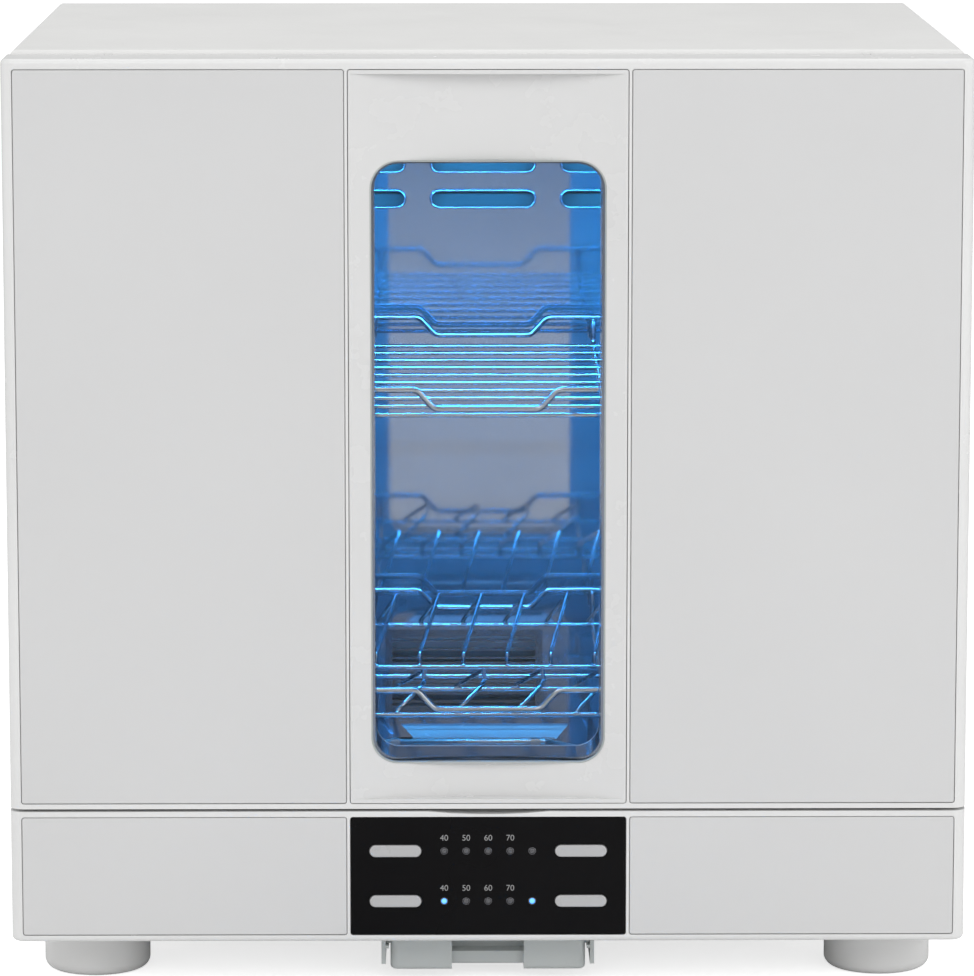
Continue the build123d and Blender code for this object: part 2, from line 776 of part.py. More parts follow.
def rack_points(rim_z):
    """Corners of a rim wire: a long loop whose front and back runs dip in the middle."""
    half = rack_width / 2
    dip_out = rim_drop_half + rim_drop_run
    dip_z = rim_z - rim_drop
    front = [(-half, rim_z), (-dip_out, rim_z), (-rim_drop_half, dip_z),
             (rim_drop_half, dip_z), (dip_out, rim_z), (half, rim_z)]
    corners = [(x, front_y + rack_front, z) for x, z in front]
    corners += [(x, front_y + rack_back, z) for x, z in reversed(front)]
    return corners


def add_rack(rim_z, wire_setbacks):
    """Put a whole rack into the piece that is being built: rim, hanging cross wires, floor wires."""
    half = rack_width / 2
    floor_z = rim_z - rack_depth
    rim_mid_y = front_y + (rack_front + rack_back) / 2
    corners = rack_points(rim_z)
    half_count = len(corners) // 2
    bends = [rim_bend] * (half_count - 2)
    front_run = corners[:half_count]
    back_run = corners[half_count:]
    wire_along([(-half, rim_mid_y, rim_z)] + front_run + [(half, rim_mid_y, rim_z)], rim_radius,
               [rack_corner] + bends + [rack_corner])
    wire_along([(half, rim_mid_y, rim_z)] + back_run + [(-half, rim_mid_y, rim_z)], rim_radius,
               [rack_corner] + bends + [rack_corner])
    hang_z = rim_z - rim_radius - seat_gap
    trough_z = floor_z - wire_radius - cross_radius - seat_gap
    for column in cross_columns:
        for side in (-1, 1):
            wire_along([(side * column, front_y + rack_front, hang_z),
                        (side * column, front_y + rack_front, trough_z),
                        (side * column, front_y + rack_back, trough_z),
                        (side * column, front_y + rack_back, hang_z)], cross_radius, rim_bend)
    with BuildSketch(Plane.YZ.offset(-cross_columns[-1] - cross_radius)) as ends:
        with Locations(*[(front_y + setback, floor_z) for setback in wire_setbacks]):
            RegularPolygon(wire_radius, wire_sides)
    extrude(ends.sketch, amount=2 * (cross_columns[-1] + cross_radius))


cross_outer = rack_width / 2 - cross_edge
cross_columns = [cross_outer - count * cross_pitch for count in reversed(range(cross_count))]
upper_wire_first = rack_front + upper_wire_gap
upper_wire_count = int((rack_back - wire_edge - upper_wire_first) // upper_wire_pitch) + 1
upper_wires = [upper_wire_first + count * upper_wire_pitch for count in range(upper_wire_count)]
with BuildPart() as upper_rack:
    add_rack(upper_rim_z, upper_wires)
save(upper_rack, "upper_rack")

loop_front = rack_front + loop_wire_gap
loop_back = loop_front + loop_wire_span
divider_front = loop_back + middle_wire_gap + divider_wire_gap
divider_back = rack_back - back_wire_gap
lower_wires = [loop_front, loop_back, loop_back + middle_wire_gap, divider_front, divider_back]
with BuildPart() as lower_rack:
    add_rack(lower_rim_z, lower_wires)
save(lower_rack, "lower_rack")

lower_floor_z = lower_rim_z - rack_depth
stem_z = lower_floor_z + wire_radius + seat_gap
foot_z = stem_z + wire_radius            # where a wire comes down at a slant
divider_peak = divider_back - divider_back_run
divider_count = int(2 * (cross_outer - divider_edge) // divider_pitch) + 1
with BuildPart() as plate_dividers:
    for count in range(divider_count):
        divider_x = (count - (divider_count - 1) / 2) * divider_pitch
        wire_along([(divider_x, front_y + divider_front, stem_z),
                    (divider_x, front_y + divider_front, foot_z + divider_stem),
                    (divider_x + divider_lean, front_y + divider_peak, lower_floor_z + divider_height),
                    (divider_x, front_y + divider_back, foot_z)],
                   wire_radius, 2 * wire_radius)
save(plate_dividers, "plate_dividers")

loop_count = int(2 * (cross_outer - loop_edge) // loop_pitch) + 1
with BuildPart() as bowl_loops:
    for count in range(loop_count):
        loop_x = (count - (loop_count - 1) / 2) * loop_pitch
        wire_along([(loop_x, front_y + loop_front, foot_z),
                    (loop_x + loop_bulge, front_y + loop_front + loop_slope, foot_z + loop_rise),
                    (loop_x + loop_bulge, front_y + loop_back - loop_slope, foot_z + loop_rise),
                    (loop_x, front_y + loop_back, foot_z)],
                   wire_radius, loop_rise)
save(bowl_loops, "bowl_loops")

support_length = liner_back_setback - frame_back - support_front - support_rear
for rack_name, rim_z in (("upper", upper_rim_z), ("lower", lower_rim_z)):
    with BuildPart() as rack_supports:
        for side in (-1, 1):
            shelf_top = rim_z - rim_radius - seat_gap
            wall_x = side * (liner_width / 2)
            with BuildSketch(behind(frame_back + support_front)):
                with BuildLine():
                    Polyline((wall_x, shelf_top + support_height - support_sheet),
                             (wall_x, shelf_top - support_sheet),
                             (wall_x - side * support_shelf, shelf_top - support_sheet),
                             (wall_x - side * support_shelf, shelf_top),
                             (wall_x - side * support_sheet, shelf_top),
                             (wall_x - side * support_sheet, shelf_top + support_height - support_sheet),
                             close=True)
                make_face()
            extrude(amount=-support_length)
    save(rack_supports, f"rack_supports_{rack_name}")

# ---------------------------------------------------------------- lamp
tube_y = front_y + tube_setback
tube_z = chamber_top - tube_drop
with BuildPart() as uv_lamp:
    with BuildSketch(Plane.YZ.offset(-tube_length / 2)):
        with Locations((tube_y, tube_z)):
            Circle(tube_radius)
    extrude(amount=tube_length)
save(uv_lamp, "uv_lamp")

with BuildPart() as lamp_caps:
    for side in (-1, 1):
        with BuildSketch(Plane.YZ.offset(side * tube_length / 2)):
            with Locations((tube_y, tube_z)):
                Circle(tube_radius)
        extrude(amount=side * cap_length)
save(lamp_caps, "lamp_caps")

with BuildPart() as lamp_holders:
    for side in (-1, 1):
        with BuildSketch(Plane.YZ.offset(side * (tube_length / 2 + seat_gap))):
            holder_low = tube_z - tube_radius - holder_margin
            with Locations((tube_y, (holder_low + chamber_top) / 2)):
                RectangleRounded(holder_depth, chamber_top - holder_low, holder_round)
            with Locations((tube_y, tube_z)):
                Circle(tube_radius + seat_gap, mode=Mode.SUBTRACT)
        extrude(amount=side * (cap_length - seat_gap))
        with BuildSketch(Plane.YZ.offset(side * (tube_length / 2 + cap_length))):
            with Locations((tube_y, (holder_low + chamber_top) / 2)):
                RectangleRounded(holder_depth, chamber_top - holder_low, holder_round)
        extrude(amount=side * (holder_width - cap_length))
save(lamp_holders, "lamp_holders")

with BuildPart() as lamp_reflector:
    with BuildSketch(Plane.YZ.offset(-tube_length / 2 + reflector_inset)):
        with BuildLine() as reflector_line:
            Polyline((tube_y - reflector_width / 2, chamber_top - tube_drop),
                     (tube_y - reflector_width / 3, chamber_top - reflector_sheet / 2),
                     (tube_y + reflector_width / 3, chamber_top - reflector_sheet / 2),
                     (tube_y + reflector_width / 2, chamber_top - tube_drop))
        trace(line_width=reflector_sheet)
        with Locations((tube_y, chamber_top + reflector_sheet)):
            Rectangle(2 * reflector_width, 2 * reflector_sheet, mode=Mode.SUBTRACT)
    extrude(amount=tube_length - 2 * reflector_inset)
save(lamp_reflector, "lamp_reflector")

with BuildPart() as lamp_ballast:
    ballast_y = front_y + depth - ballast_rear
    with BuildSketch(level(plate_top)):
        with Locations((ballast_x, ballast_y)):
            RectangleRounded(ballast_length, ballast_width, ballast_round)
    extrude(amount=ballast_height)
    with BuildSketch(level(plate_top)):
        with Locations((ballast_x, ballast_y)):
            RectangleRounded(ballast_foot_length, ballast_foot_width, ballast_round)
            with GridLocations(ballast_hole_span, 0, 2, 1):
                Circle(ballast_hole_radius, mode=Mode.SUBTRACT)
    extrude(amount=ballast_foot_sheet)
save(lamp_ballast, "lamp_ballast")

# ---------------------------------------------------------------- hot air
blower_y = front_y + blower_setback
scroll_low = plate_top
scroll_top = scroll_low + scroll_height
wheel_low = scroll_low + wheel_clearance
neck_length = scroll_radius + scroll_neck
duct_low = scroll_low
duct_mid_y = front_y + (duct_front + duct_back) / 2
with BuildPart() as blower_housing:
    with BuildSketch(level(scroll_low)):
        with Locations((blower_x, blower_y)):
            Circle(scroll_radius)
        with Locations((blower_x, blower_y + neck_length / 2)):
            Rectangle(2 * scroll_radius, neck_length)
    extrude(amount=scroll_height)
    with BuildSketch(level(scroll_low + scroll_wall)):
        with Locations((blower_x, blower_y)):
            Circle(scroll_radius - scroll_wall)
        with Locations((blower_x, blower_y + neck_length / 2 + scroll_wall)):
            Rectangle(2 * (scroll_radius - scroll_wall), neck_length + 2 * scroll_wall)
    extrude(amount=scroll_height - 2 * scroll_wall, mode=Mode.SUBTRACT)
    with BuildSketch(level(scroll_low)):
        with Locations((blower_x, blower_y)):
            Circle(wheel_radius - blade_depth)
    extrude(amount=scroll_wall, mode=Mode.SUBTRACT)
    with BuildSketch(level(scroll_top)):
        with Locations((blower_x, blower_y)):
            Circle(shaft_radius * 2)
    extrude(amount=-scroll_wall, mode=Mode.SUBTRACT)
save(blower_housing, "blower_housing")

with BuildPart() as blower_wheel:
    with BuildSketch(level(wheel_low + wheel_height)):
        with Locations((blower_x, blower_y)):
            Circle(wheel_radius)
    extrude(amount=-wheel_disc)
    with BuildSketch(level(wheel_low)):
        with Locations((blower_x, blower_y)):
            Circle(wheel_radius)
            Circle(wheel_radius - wheel_ring, mode=Mode.SUBTRACT)
    extrude(amount=wheel_disc)
    with BuildSketch(level(wheel_low)):
        with Locations((blower_x, blower_y)):
            with PolarLocations(wheel_radius - blade_depth / 2, blade_count):
                Rectangle(blade_depth, blade_thickness, rotation=blade_turn)
    extrude(amount=wheel_height)
    with BuildSketch(level(wheel_low + wheel_height)):
        with Locations((blower_x, blower_y)):
            Circle(shaft_radius * 3)
    extrude(amount=-wheel_hub)
    with BuildSketch(level(wheel_low + wheel_height - wheel_disc)):
        with Locations((blower_x, blower_y)):
            Circle(shaft_radius)
    extrude(amount=scroll_top + motor_height / 2 - wheel_low - wheel_height + wheel_disc)
save(blower_wheel, "blower_wheel")

with BuildPart() as blower_motor:
    with BuildSketch(level(scroll_top)):
        with Locations((blower_x, blower_y)):
            Circle(motor_radius)
    extrude(amount=motor_height)
    chamfer(blower_motor.edges().group_by(Axis.Z)[-1], length=motor_round)
    with BuildSketch(level(scroll_top)):
        with Locations((blower_x, blower_y)):
            Circle(shaft_radius + running_gap)
    extrude(amount=motor_height / 2 + scroll_wall, mode=Mode.SUBTRACT)
    with BuildSketch(level(scroll_top)):
        with Locations((blower_x, blower_y)):
            with PolarLocations(motor_radius + motor_lug_reach, motor_lug_count):
                Circle(motor_lug_radius)
        with Locations((blower_x, blower_y)):
            Circle(motor_radius - scroll_wall, mode=Mode.SUBTRACT)
    extrude(amount=motor_flange)
save(blower_motor, "blower_motor")

duct_entry = blower_setback + neck_length
with BuildPart() as heater_duct:
    with BuildSketch(level(duct_low)):
        with Locations((outlet_x, front_y + (duct_entry + duct_back - seat_gap) / 2)):
            Rectangle(2 * duct_half, duct_back - seat_gap - duct_entry)
    extrude(amount=duct_height + 2 * duct_sheet)
    riser_top = chamber_floor + outlet_low + outlet_height + duct_head
    with BuildSketch(level(duct_low)):
        with Locations((outlet_x, front_y + (duct_front + duct_back - seat_gap) / 2)):
            Rectangle(2 * duct_half, duct_back - seat_gap - duct_front)
    extrude(amount=riser_top - duct_low)
    with BuildSketch(behind(duct_entry)):
        with Locations((outlet_x, duct_low + duct_sheet + duct_height / 2)):
            Rectangle(outlet_width, duct_height)
    extrude(amount=-(duct_back - seat_gap - duct_sheet - duct_entry), mode=Mode.SUBTRACT)
    with BuildSketch(level(duct_low + duct_sheet)):
        with Locations((outlet_x, front_y + (duct_front + duct_back - seat_gap) / 2)):
            Rectangle(outlet_width, duct_back - seat_gap - duct_front - 2 * duct_sheet)
    extrude(amount=riser_top - duct_low - 2 * duct_sheet, mode=Mode.SUBTRACT)
    with BuildSketch(behind(duct_front)):
        with Locations((outlet_x, chamber_floor + outlet_low + outlet_height / 2)):
            Rectangle(outlet_width, outlet_height)
    extrude(amount=-2 * duct_sheet, mode=Mode.SUBTRACT)
save(heater_duct, "heater_duct")

with BuildPart() as heater_element:
    heater_y = front_y + duct_entry + heater_gap + heater_depth / 2
    with BuildSketch(level(duct_low + duct_sheet)):
        with Locations((outlet_x, heater_y)):
            with GridLocations((outlet_width - fin_inset) / fin_count, 0, fin_count, 1):
                Rectangle(fin_thickness, fin_depth)
    extrude(amount=duct_height)
    with BuildSketch(behind(duct_entry + heater_gap)):
        with Locations((outlet_x, duct_low + duct_sheet + duct_height / 2)):
            with GridLocations(0, duct_height / 3, 1, 2):
                Rectangle(outlet_width - heater_bar_inset, heater_bar)
    extrude(amount=-heater_depth)
save(heater_element, "heater_element")

with BuildPart() as drain_tube:
    tube_head = base_top - sump_depth
    with BuildSketch(level(tube_head)):
        with Locations((outlet_x, front_y + sump_mid)):
            Rectangle(sump_width, sump_length)
    extrude(amount=-drain_flange)
    with BuildSketch(level(tube_head)):
        with Locations((outlet_x, front_y + sump_mid)):
            Circle(drain_radius)
    extrude(amount=-(tube_head - tray_top - drain_gap))
    with BuildSketch(level(tube_head)):
        with Locations((outlet_x, front_y + sump_mid)):
            Circle(drain_radius - drain_wall)
    extrude(amount=-(tube_head - tray_top), mode=Mode.SUBTRACT)
    with BuildSketch(level(tube_head)):
        with Locations((outlet_x, front_y + sump_mid)):
            Rectangle(sump_width - 2 * drain_flange_wall, sump_length - 2 * drain_flange_wall)
    extrude(amount=-drain_flange / 2, mode=Mode.SUBTRACT)
save(drain_tube, "drain_tube")

with BuildPart() as temperature_sensor:
    sensor_y = front_y + sensor_setback
    sensor_z = chamber_floor + sensor_rise
    sensor_end = outlet_x + sensor_half
    tail_x = [sensor_end + reach for reach in sensor_tail_x]
    tail_y = [sensor_y - reach for reach in sensor_tail_y]
    wire_along([(outlet_x - sensor_half, sensor_y, sensor_z), (sensor_end, sensor_y, sensor_z),
                (tail_x[0], tail_y[0], sensor_z), (tail_x[1], tail_y[1], sensor_z),
                (tail_x[1], tail_y[1], chamber_floor)], sensor_radius, sensor_bend)
    for side in (-1, 1):
        with BuildSketch(level(chamber_floor)):
            with Locations((outlet_x + side * (sensor_half - sensor_clip_inset), sensor_y)):
                Rectangle(sensor_clip_width, sensor_clip_length)
        extrude(amount=sensor_clip_height)
save(temperature_sensor, "temperature_sensor")

with BuildPart() as cord_gland:
    with BuildSketch(behind(depth + gland_proud)):
        with Locations((gland_x, gland_z)):
            Circle(gland_radius - seat_gap)
    extrude(amount=gland_proud + shell_wall + gland_collar)
    with BuildSketch(behind(depth - shell_wall)):
        with Locations((gland_x, gland_z)):
            Circle(gland_radius + gland_collar)
    extrude(amount=gland_collar)
    with BuildSketch(behind(depth + gland_proud)):
        with Locations((gland_x, gland_z)):
            Circle(gland_bore)
    extrude(amount=gland_proud + shell_wall + gland_collar, mode=Mode.SUBTRACT)
save(cord_gland, "cord_gland")

# ================================================================ door
door_insert_low = door_low + door_border_low
door_insert_high = door_top - door_border_high
door_insert_mid = (door_insert_low + door_insert_high) / 2
door_insert_height = door_insert_high - door_insert_low
inner_panel_setback = door_thickness - inner_panel_thickness
notch_reach = hinge_inset + notch_margin

with BuildPart() as door_frame:
    with BuildSketch(level(door_low)):
        with Locations((0, front_y + door_thickness / 2)):
            Rectangle(front_width, door_thickness)
    extrude(amount=door_height)
    fillet(door_frame.edges().filter_by(Axis.Z).group_by(Axis.Y)[0], radius=front_corner)
    fillet(door_frame.edges().group_by(Axis.Z)[-1].sort_by(Axis.Y)[0:-1], radius=door_top_round)
    with BuildSketch(Plane.YZ.offset(-front_width / 2)):
        with Locations((hinge_y + hinge_inset, hinge_z + hinge_inset)):
            Rectangle(2 * hinge_inset, 2 * hinge_inset)
        with Locations((hinge_y, hinge_z)):
            Circle(hinge_inset, mode=Mode.SUBTRACT)
    extrude(amount=front_width, mode=Mode.SUBTRACT)
    with BuildSketch(behind(door_thickness)):
        with Locations((0, (door_low + shell_wall + door_top - top_rail) / 2)):
            Rectangle(front_width - 2 * shell_wall, door_height - shell_wall - top_rail)
    extrude(amount=door_thickness - face_depth, mode=Mode.SUBTRACT)
    with BuildSketch(behind(0)):
        with Locations((-insert_mid, door_insert_mid), (insert_mid, door_insert_mid)):
            RectangleRounded(insert_span, door_insert_height, insert_corner)
    extrude(amount=-insert_thickness, mode=Mode.SUBTRACT)
    with BuildSketch(behind(0)):
        with Locations((0, door_insert_mid)):
            RectangleRounded(center_width, door_insert_height, insert_corner)
    extrude(amount=-center_panel_depth, mode=Mode.SUBTRACT)
    for side in (-1, 1):
        with BuildSketch(Plane.YZ.offset(side * hinge_x - ear_thickness / 2 - slide_gap)):
            with Locations((hinge_y, hinge_z)):
                Rectangle(2 * notch_reach, 2 * notch_reach)
        extrude(amount=ear_thickness + 2 * slide_gap, mode=Mode.SUBTRACT)
        with BuildSketch(Plane.YZ.offset(side * hinge_x - pin_length / 2 - seat_gap)):
            with Locations((hinge_y, hinge_z)):
                Circle(pin_radius + running_gap)
        extrude(amount=pin_length + 2 * seat_gap, mode=Mode.SUBTRACT)
save(door_frame, "door_frame")

with BuildPart() as hinge_pins:
    for side in (-1, 1):
        with BuildSketch(Plane.YZ.offset(side * hinge_x - pin_length / 2)):
            with Locations((hinge_y, hinge_z)):
                Circle(pin_radius)
        extrude(amount=pin_length)
save(hinge_pins, "hinge_pins")

for side_name, side in (("left", -1), ("right", 1)):
    with BuildPart() as door_insert:
        with BuildSketch(behind(0)):
            with Locations((side * insert_mid, door_insert_mid)):
                RectangleRounded(insert_span - 2 * insert_gap, door_insert_height - 2 * insert_gap,
                                 insert_corner - insert_gap)
        extrude(amount=-insert_thickness)
        fillet(door_insert.edges().group_by(Axis.Y)[0], radius=insert_gap)
    save(door_insert, f"door_insert_{side_name}")

# the concave centre: a cylinder whose axis stands in front of the door
panel_half = center_width / 2 - insert_gap
hollow_half = panel_half - concave_edge
concave_radius = (hollow_half ** 2 + concave_sag ** 2) / (2 * concave_sag)
concave_y = front_y + concave_sag - concave_radius
panel_low_z = door_insert_low + insert_gap
panel_high_z = door_insert_high - insert_gap
window_low = door_low + window_rise
window_mid = window_low + window_height / 2

with BuildPart() as door_center_panel:
    with BuildSketch(behind(0)):
        with Locations((0, (panel_low_z + panel_high_z) / 2)):
            RectangleRounded(2 * panel_half, panel_high_z - panel_low_z, insert_corner - insert_gap)
    extrude(amount=-center_panel_depth)
    with BuildSketch(level(panel_low_z + center_ledge)):
        with Locations((0, concave_y)):
            Circle(concave_radius)
        with Locations((0, front_y)):
            Rectangle(2 * hollow_half, 3 * center_panel_depth, mode=Mode.INTERSECT)
    extrude(amount=panel_high_z - panel_low_z - 2 * center_ledge, mode=Mode.SUBTRACT)
    with BuildSketch(level(panel_low_z + center_ledge)):
        with Locations((0, front_y + center_panel_depth)):
            Rectangle(2 * (panel_half - concave_thickness), 2 * center_panel_depth)
        with Locations((0, concave_y)):
            Circle(concave_radius + concave_thickness, mode=Mode.SUBTRACT)
    extrude(amount=panel_high_z - panel_low_z - 2 * center_ledge, mode=Mode.SUBTRACT)
    with BuildSketch(behind(0)):
        with Locations((0, window_mid)):
            RectangleRounded(window_width, window_height, window_corner)
    extrude(amount=-center_panel_depth, mode=Mode.SUBTRACT)
save(door_center_panel, "door_center_panel")

window_front = concave_radius + window_inset
window_back = window_front + window_thickness
with BuildPart() as door_window:
    with BuildSketch(level(window_low)):
        with Locations((0, concave_y)):
            Circle(window_back)
            Circle(window_front, mode=Mode.SUBTRACT)
        with Locations((0, front_y)):
            Rectangle(center_width, 4 * center_panel_depth, mode=Mode.INTERSECT)
    extrude(amount=window_height)
    with BuildSketch(behind(0)):
        with Locations((0, window_mid)):
            RectangleRounded(window_width - 2 * seat_gap, window_height - 2 * seat_gap,
                             window_corner - seat_gap)
    extrude(amount=-2 * center_panel_depth, mode=Mode.INTERSECT)
save(door_window, "door_window")

surround_outer = window_width + 2 * surround_overlap
surround_inner = surround_outer - 2 * surround_wall
with BuildPart() as window_surround:
    with BuildSketch(behind(0)):
        with Locations((0, window_mid)):
            RectangleRounded(surround_outer, window_height + 2 * surround_overlap,
                             window_corner + surround_overlap)
            RectangleRounded(surround_inner, window_height + 2 * surround_overlap - 2 * surround_wall,
                             window_corner + surround_overlap - surround_wall, mode=Mode.SUBTRACT)
    extrude(amount=-inner_panel_setback)
    with BuildSketch(level(window_low - 2 * surround_wall)):
        with Locations((0, concave_y)):
            Circle(window_back)
    extrude(amount=window_height + 4 * surround_wall, mode=Mode.SUBTRACT)
save(window_surround, "window_surround")

inner_low = door_low + shell_wall + seat_gap
inner_high = door_top - top_rail - seat_gap
gasket_outer_half = opening_half + gasket_margin + gasket_width
gasket_low = opening_z - gasket_margin - gasket_width + gasket_low_trim
gasket_high = opening_z + opening_height + gasket_margin + gasket_width
with BuildPart() as door_inner_panel:
    with BuildSketch(behind(inner_panel_setback)):
        with Locations((0, (inner_low + inner_high) / 2)):
            Rectangle(front_width - 2 * (shell_wall + seat_gap), inner_high - inner_low)
        with Locations((0, window_mid)):
            RectangleRounded(surround_inner, window_height + 2 * surround_overlap - 2 * surround_wall,
                             window_corner + surround_overlap - surround_wall, mode=Mode.SUBTRACT)
        with Locations((-magnet_x, magnet_z), (magnet_x, magnet_z)):
            Rectangle(magnet_width + 2 * seat_gap, magnet_height + 2 * seat_gap, mode=Mode.SUBTRACT)
    extrude(amount=-inner_panel_thickness)
    with BuildSketch(behind(door_thickness)):
        with Locations((0, (gasket_low + gasket_high) / 2)):
            RectangleRounded(2 * gasket_outer_half, gasket_high - gasket_low, gasket_width)
            RectangleRounded(2 * (gasket_outer_half - gasket_width),
                             gasket_high - gasket_low - 2 * gasket_width, gasket_width / 2,
                             mode=Mode.SUBTRACT)
    extrude(amount=gasket_groove, mode=Mode.SUBTRACT)
save(door_inner_panel, "door_inner_panel")

with BuildPart() as door_gasket:
    with BuildSketch(behind(door_thickness - gasket_groove)):
        with Locations((0, (gasket_low + gasket_high) / 2)):
            RectangleRounded(2 * (gasket_outer_half - seat_gap), gasket_high - gasket_low - 2 * seat_gap,
                             gasket_width - seat_gap)
            RectangleRounded(2 * (gasket_outer_half - gasket_width + seat_gap),
                             gasket_high - gasket_low - 2 * (gasket_width - seat_gap),
                             gasket_width / 2 + seat_gap, mode=Mode.SUBTRACT)
    extrude(amount=-(gasket_groove + door_gap - seat_gap))
save(door_gasket, "door_gasket")

with BuildPart() as door_magnets:
    with BuildSketch(behind(door_thickness)):
        with Locations((-magnet_x, magnet_z), (magnet_x, magnet_z)):
            Rectangle(magnet_width, magnet_height)
    extrude(amount=magnet_depth)
save(door_magnets, "door_magnets")
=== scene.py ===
import json
import math

import bmesh
import bpy
from mathutils import Matrix, Vector


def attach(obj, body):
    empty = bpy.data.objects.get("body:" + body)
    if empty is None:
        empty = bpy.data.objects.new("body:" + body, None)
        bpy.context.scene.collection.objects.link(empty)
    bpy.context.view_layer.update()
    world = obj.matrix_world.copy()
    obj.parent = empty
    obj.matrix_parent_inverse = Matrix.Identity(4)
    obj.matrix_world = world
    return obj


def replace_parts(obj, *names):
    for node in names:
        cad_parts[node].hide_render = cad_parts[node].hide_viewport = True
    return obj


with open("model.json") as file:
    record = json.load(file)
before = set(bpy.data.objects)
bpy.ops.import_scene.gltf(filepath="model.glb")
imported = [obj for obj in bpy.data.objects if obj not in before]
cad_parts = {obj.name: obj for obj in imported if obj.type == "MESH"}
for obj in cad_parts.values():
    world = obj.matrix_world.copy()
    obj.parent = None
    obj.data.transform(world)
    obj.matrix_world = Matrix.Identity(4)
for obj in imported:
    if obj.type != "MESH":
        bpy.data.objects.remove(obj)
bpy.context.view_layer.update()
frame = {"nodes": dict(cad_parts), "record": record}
nodes = frame["nodes"]
MM = 0.001

# ---------------------------------------------------------------- sizes shared with the CAD, in mm
FRONT_Y = -195.0
BACK_Y = 195.0
DOOR_BACK_Y = -155.0
FRAME_FRONT_Y = -153.5
BASE_LOW = 26.0
LAMP_PITCH = 11.16
LAMP_ROWS = (47.1, 73.1)
LAMP_RADIUS = 1.5
CONCAVE_AXIS_Y = -483.4
CONCAVE_RADIUS = 296.4


# ================================================================ material helpers
def new_material(name, **sockets):
    """A Principled material with these values on its own sockets."""
    material = bpy.data.materials.new(name)
    material.use_nodes = True
    shader = material.node_tree.nodes["Principled BSDF"]
    labels = {label.lower().replace(" ", "_"): label for label in shader.inputs.keys()}
    for socket, value in sockets.items():
        shader.inputs[labels[socket]].default_value = value
    return material


def set_value(material, label, value):
    """Set one of the shader's own sockets."""
    material.node_tree.nodes["Principled BSDF"].inputs[label].default_value = value


def noise(material, scale, stretch=(1.0, 1.0, 1.0), detail=2.0):
    """Noise in the object's own space; its grain is finer the larger the scale."""
    tree = material.node_tree
    place = tree.nodes.new("ShaderNodeTexCoord")
    mapping = tree.nodes.new("ShaderNodeMapping")
    mapping.inputs["Scale"].default_value = stretch
    texture = tree.nodes.new("ShaderNodeTexNoise")
    texture.inputs["Scale"].default_value = scale
    texture.inputs["Detail"].default_value = detail
    tree.links.new(place.outputs["Object"], mapping.inputs["Vector"])
    tree.links.new(mapping.outputs["Vector"], texture.inputs["Vector"])
    return texture.outputs["Fac"]


def vary(material, socket, height, low, high):
    """Drive one of the shader's values by a texture, between low and high."""
    tree = material.node_tree
    span = tree.nodes.new("ShaderNodeMapRange")
    span.inputs["From Min"].default_value = 0.3
    span.inputs["From Max"].default_value = 0.7
    span.inputs["To Min"].default_value = low
    span.inputs["To Max"].default_value = high
    tree.links.new(height, span.inputs["Value"])
    tree.links.new(span.outputs["Result"], tree.nodes["Principled BSDF"].inputs[socket])


def shade(material, height, dark, light):
    """Drive the colour by a texture, between two colours."""
    tree = material.node_tree
    ramp = tree.nodes.new("ShaderNodeValToRGB")
    ramp.color_ramp.elements[0].position = 0.3
    ramp.color_ramp.elements[0].color = (*dark, 1.0)
    ramp.color_ramp.elements[1].position = 0.7
    ramp.color_ramp.elements[1].color = (*light, 1.0)
    tree.links.new(height, ramp.inputs["Fac"])
    tree.links.new(ramp.outputs["Color"], tree.nodes["Principled BSDF"].inputs["Base Color"])


def relief(material, height, strength, distance):
    """Bump from a texture; the distance is in metres."""
    tree = material.node_tree
    bump = tree.nodes.new("ShaderNodeBump")
    bump.inputs["Strength"].default_value = strength
    bump.inputs["Distance"].default_value = distance
    tree.links.new(height, bump.inputs["Height"])
    tree.links.new(bump.outputs["Normal"], tree.nodes["Principled BSDF"].inputs["Normal"])


def moulded(name, colour, roughness, grain=700.0, depth=0.00003, spread=0.012, coat=0.0):
    """Moulded plastic: a slow drift of tone, uneven gloss and a fine skin."""
    material = new_material(name, roughness=roughness, ior=1.5, coat_weight=coat, coat_roughness=0.06)
    slow = noise(material, 9.0, detail=3.0)
    shade(material, slow, [c - spread for c in colour], [c + spread for c in colour])
    vary(material, "Roughness", noise(material, 45.0, detail=4.0), roughness * 0.85, roughness * 1.15)
    relief(material, noise(material, grain), 0.25, depth)
    return material


def metal(name, colour, roughness, stretch=(1.0, 1.0, 1.0), grain=300.0, depth=0.00001, spread=0.03):
    """Bare metal with a drawn grain along the axis that isn't stretched."""
    material = new_material(name, metallic=1.0, roughness=roughness)
    lines = noise(material, grain, stretch, 3.0)
    shade(material, noise(material, 14.0, detail=3.0), [c - spread for c in colour],
          [c + spread for c in colour])
    vary(material, "Roughness", lines, roughness * 0.75, roughness * 1.3)
    relief(material, lines, 0.2, depth)
    return material


# ================================================================ materials
white_abs = moulded("white_abs", (0.80, 0.80, 0.795), 0.24)
pale_insert = moulded("pale_insert", (0.69, 0.69, 0.69), 0.36, grain=1500.0, depth=0.00005, spread=0.006)
panel_white = moulded("panel_white", (0.745, 0.745, 0.742), 0.26)
white_steel = moulded("white_steel", (0.80, 0.80, 0.79), 0.42, grain=1100.0, depth=0.00008)
cover_white = moulded("cover_white", (0.79, 0.79, 0.78), 0.55, grain=1300.0, depth=0.00006)
set_value(cover_white, "Specular IOR Level", 0.3)
black_panel = moulded("black_panel", (0.0030, 0.0027, 0.0032), 0.13, grain=260.0, depth=0.00001,
                      spread=0.001)
set_value(black_panel, "Specular IOR Level", 0.10)
button_cap = moulded("button_cap", (0.50, 0.50, 0.505), 0.30, grain=1800.0, depth=0.00002)
tray_plastic = moulded("tray_plastic", (0.73, 0.77, 0.765), 0.34, grain=500.0)
set_value(tray_plastic, "Transmission Weight", 0.22)
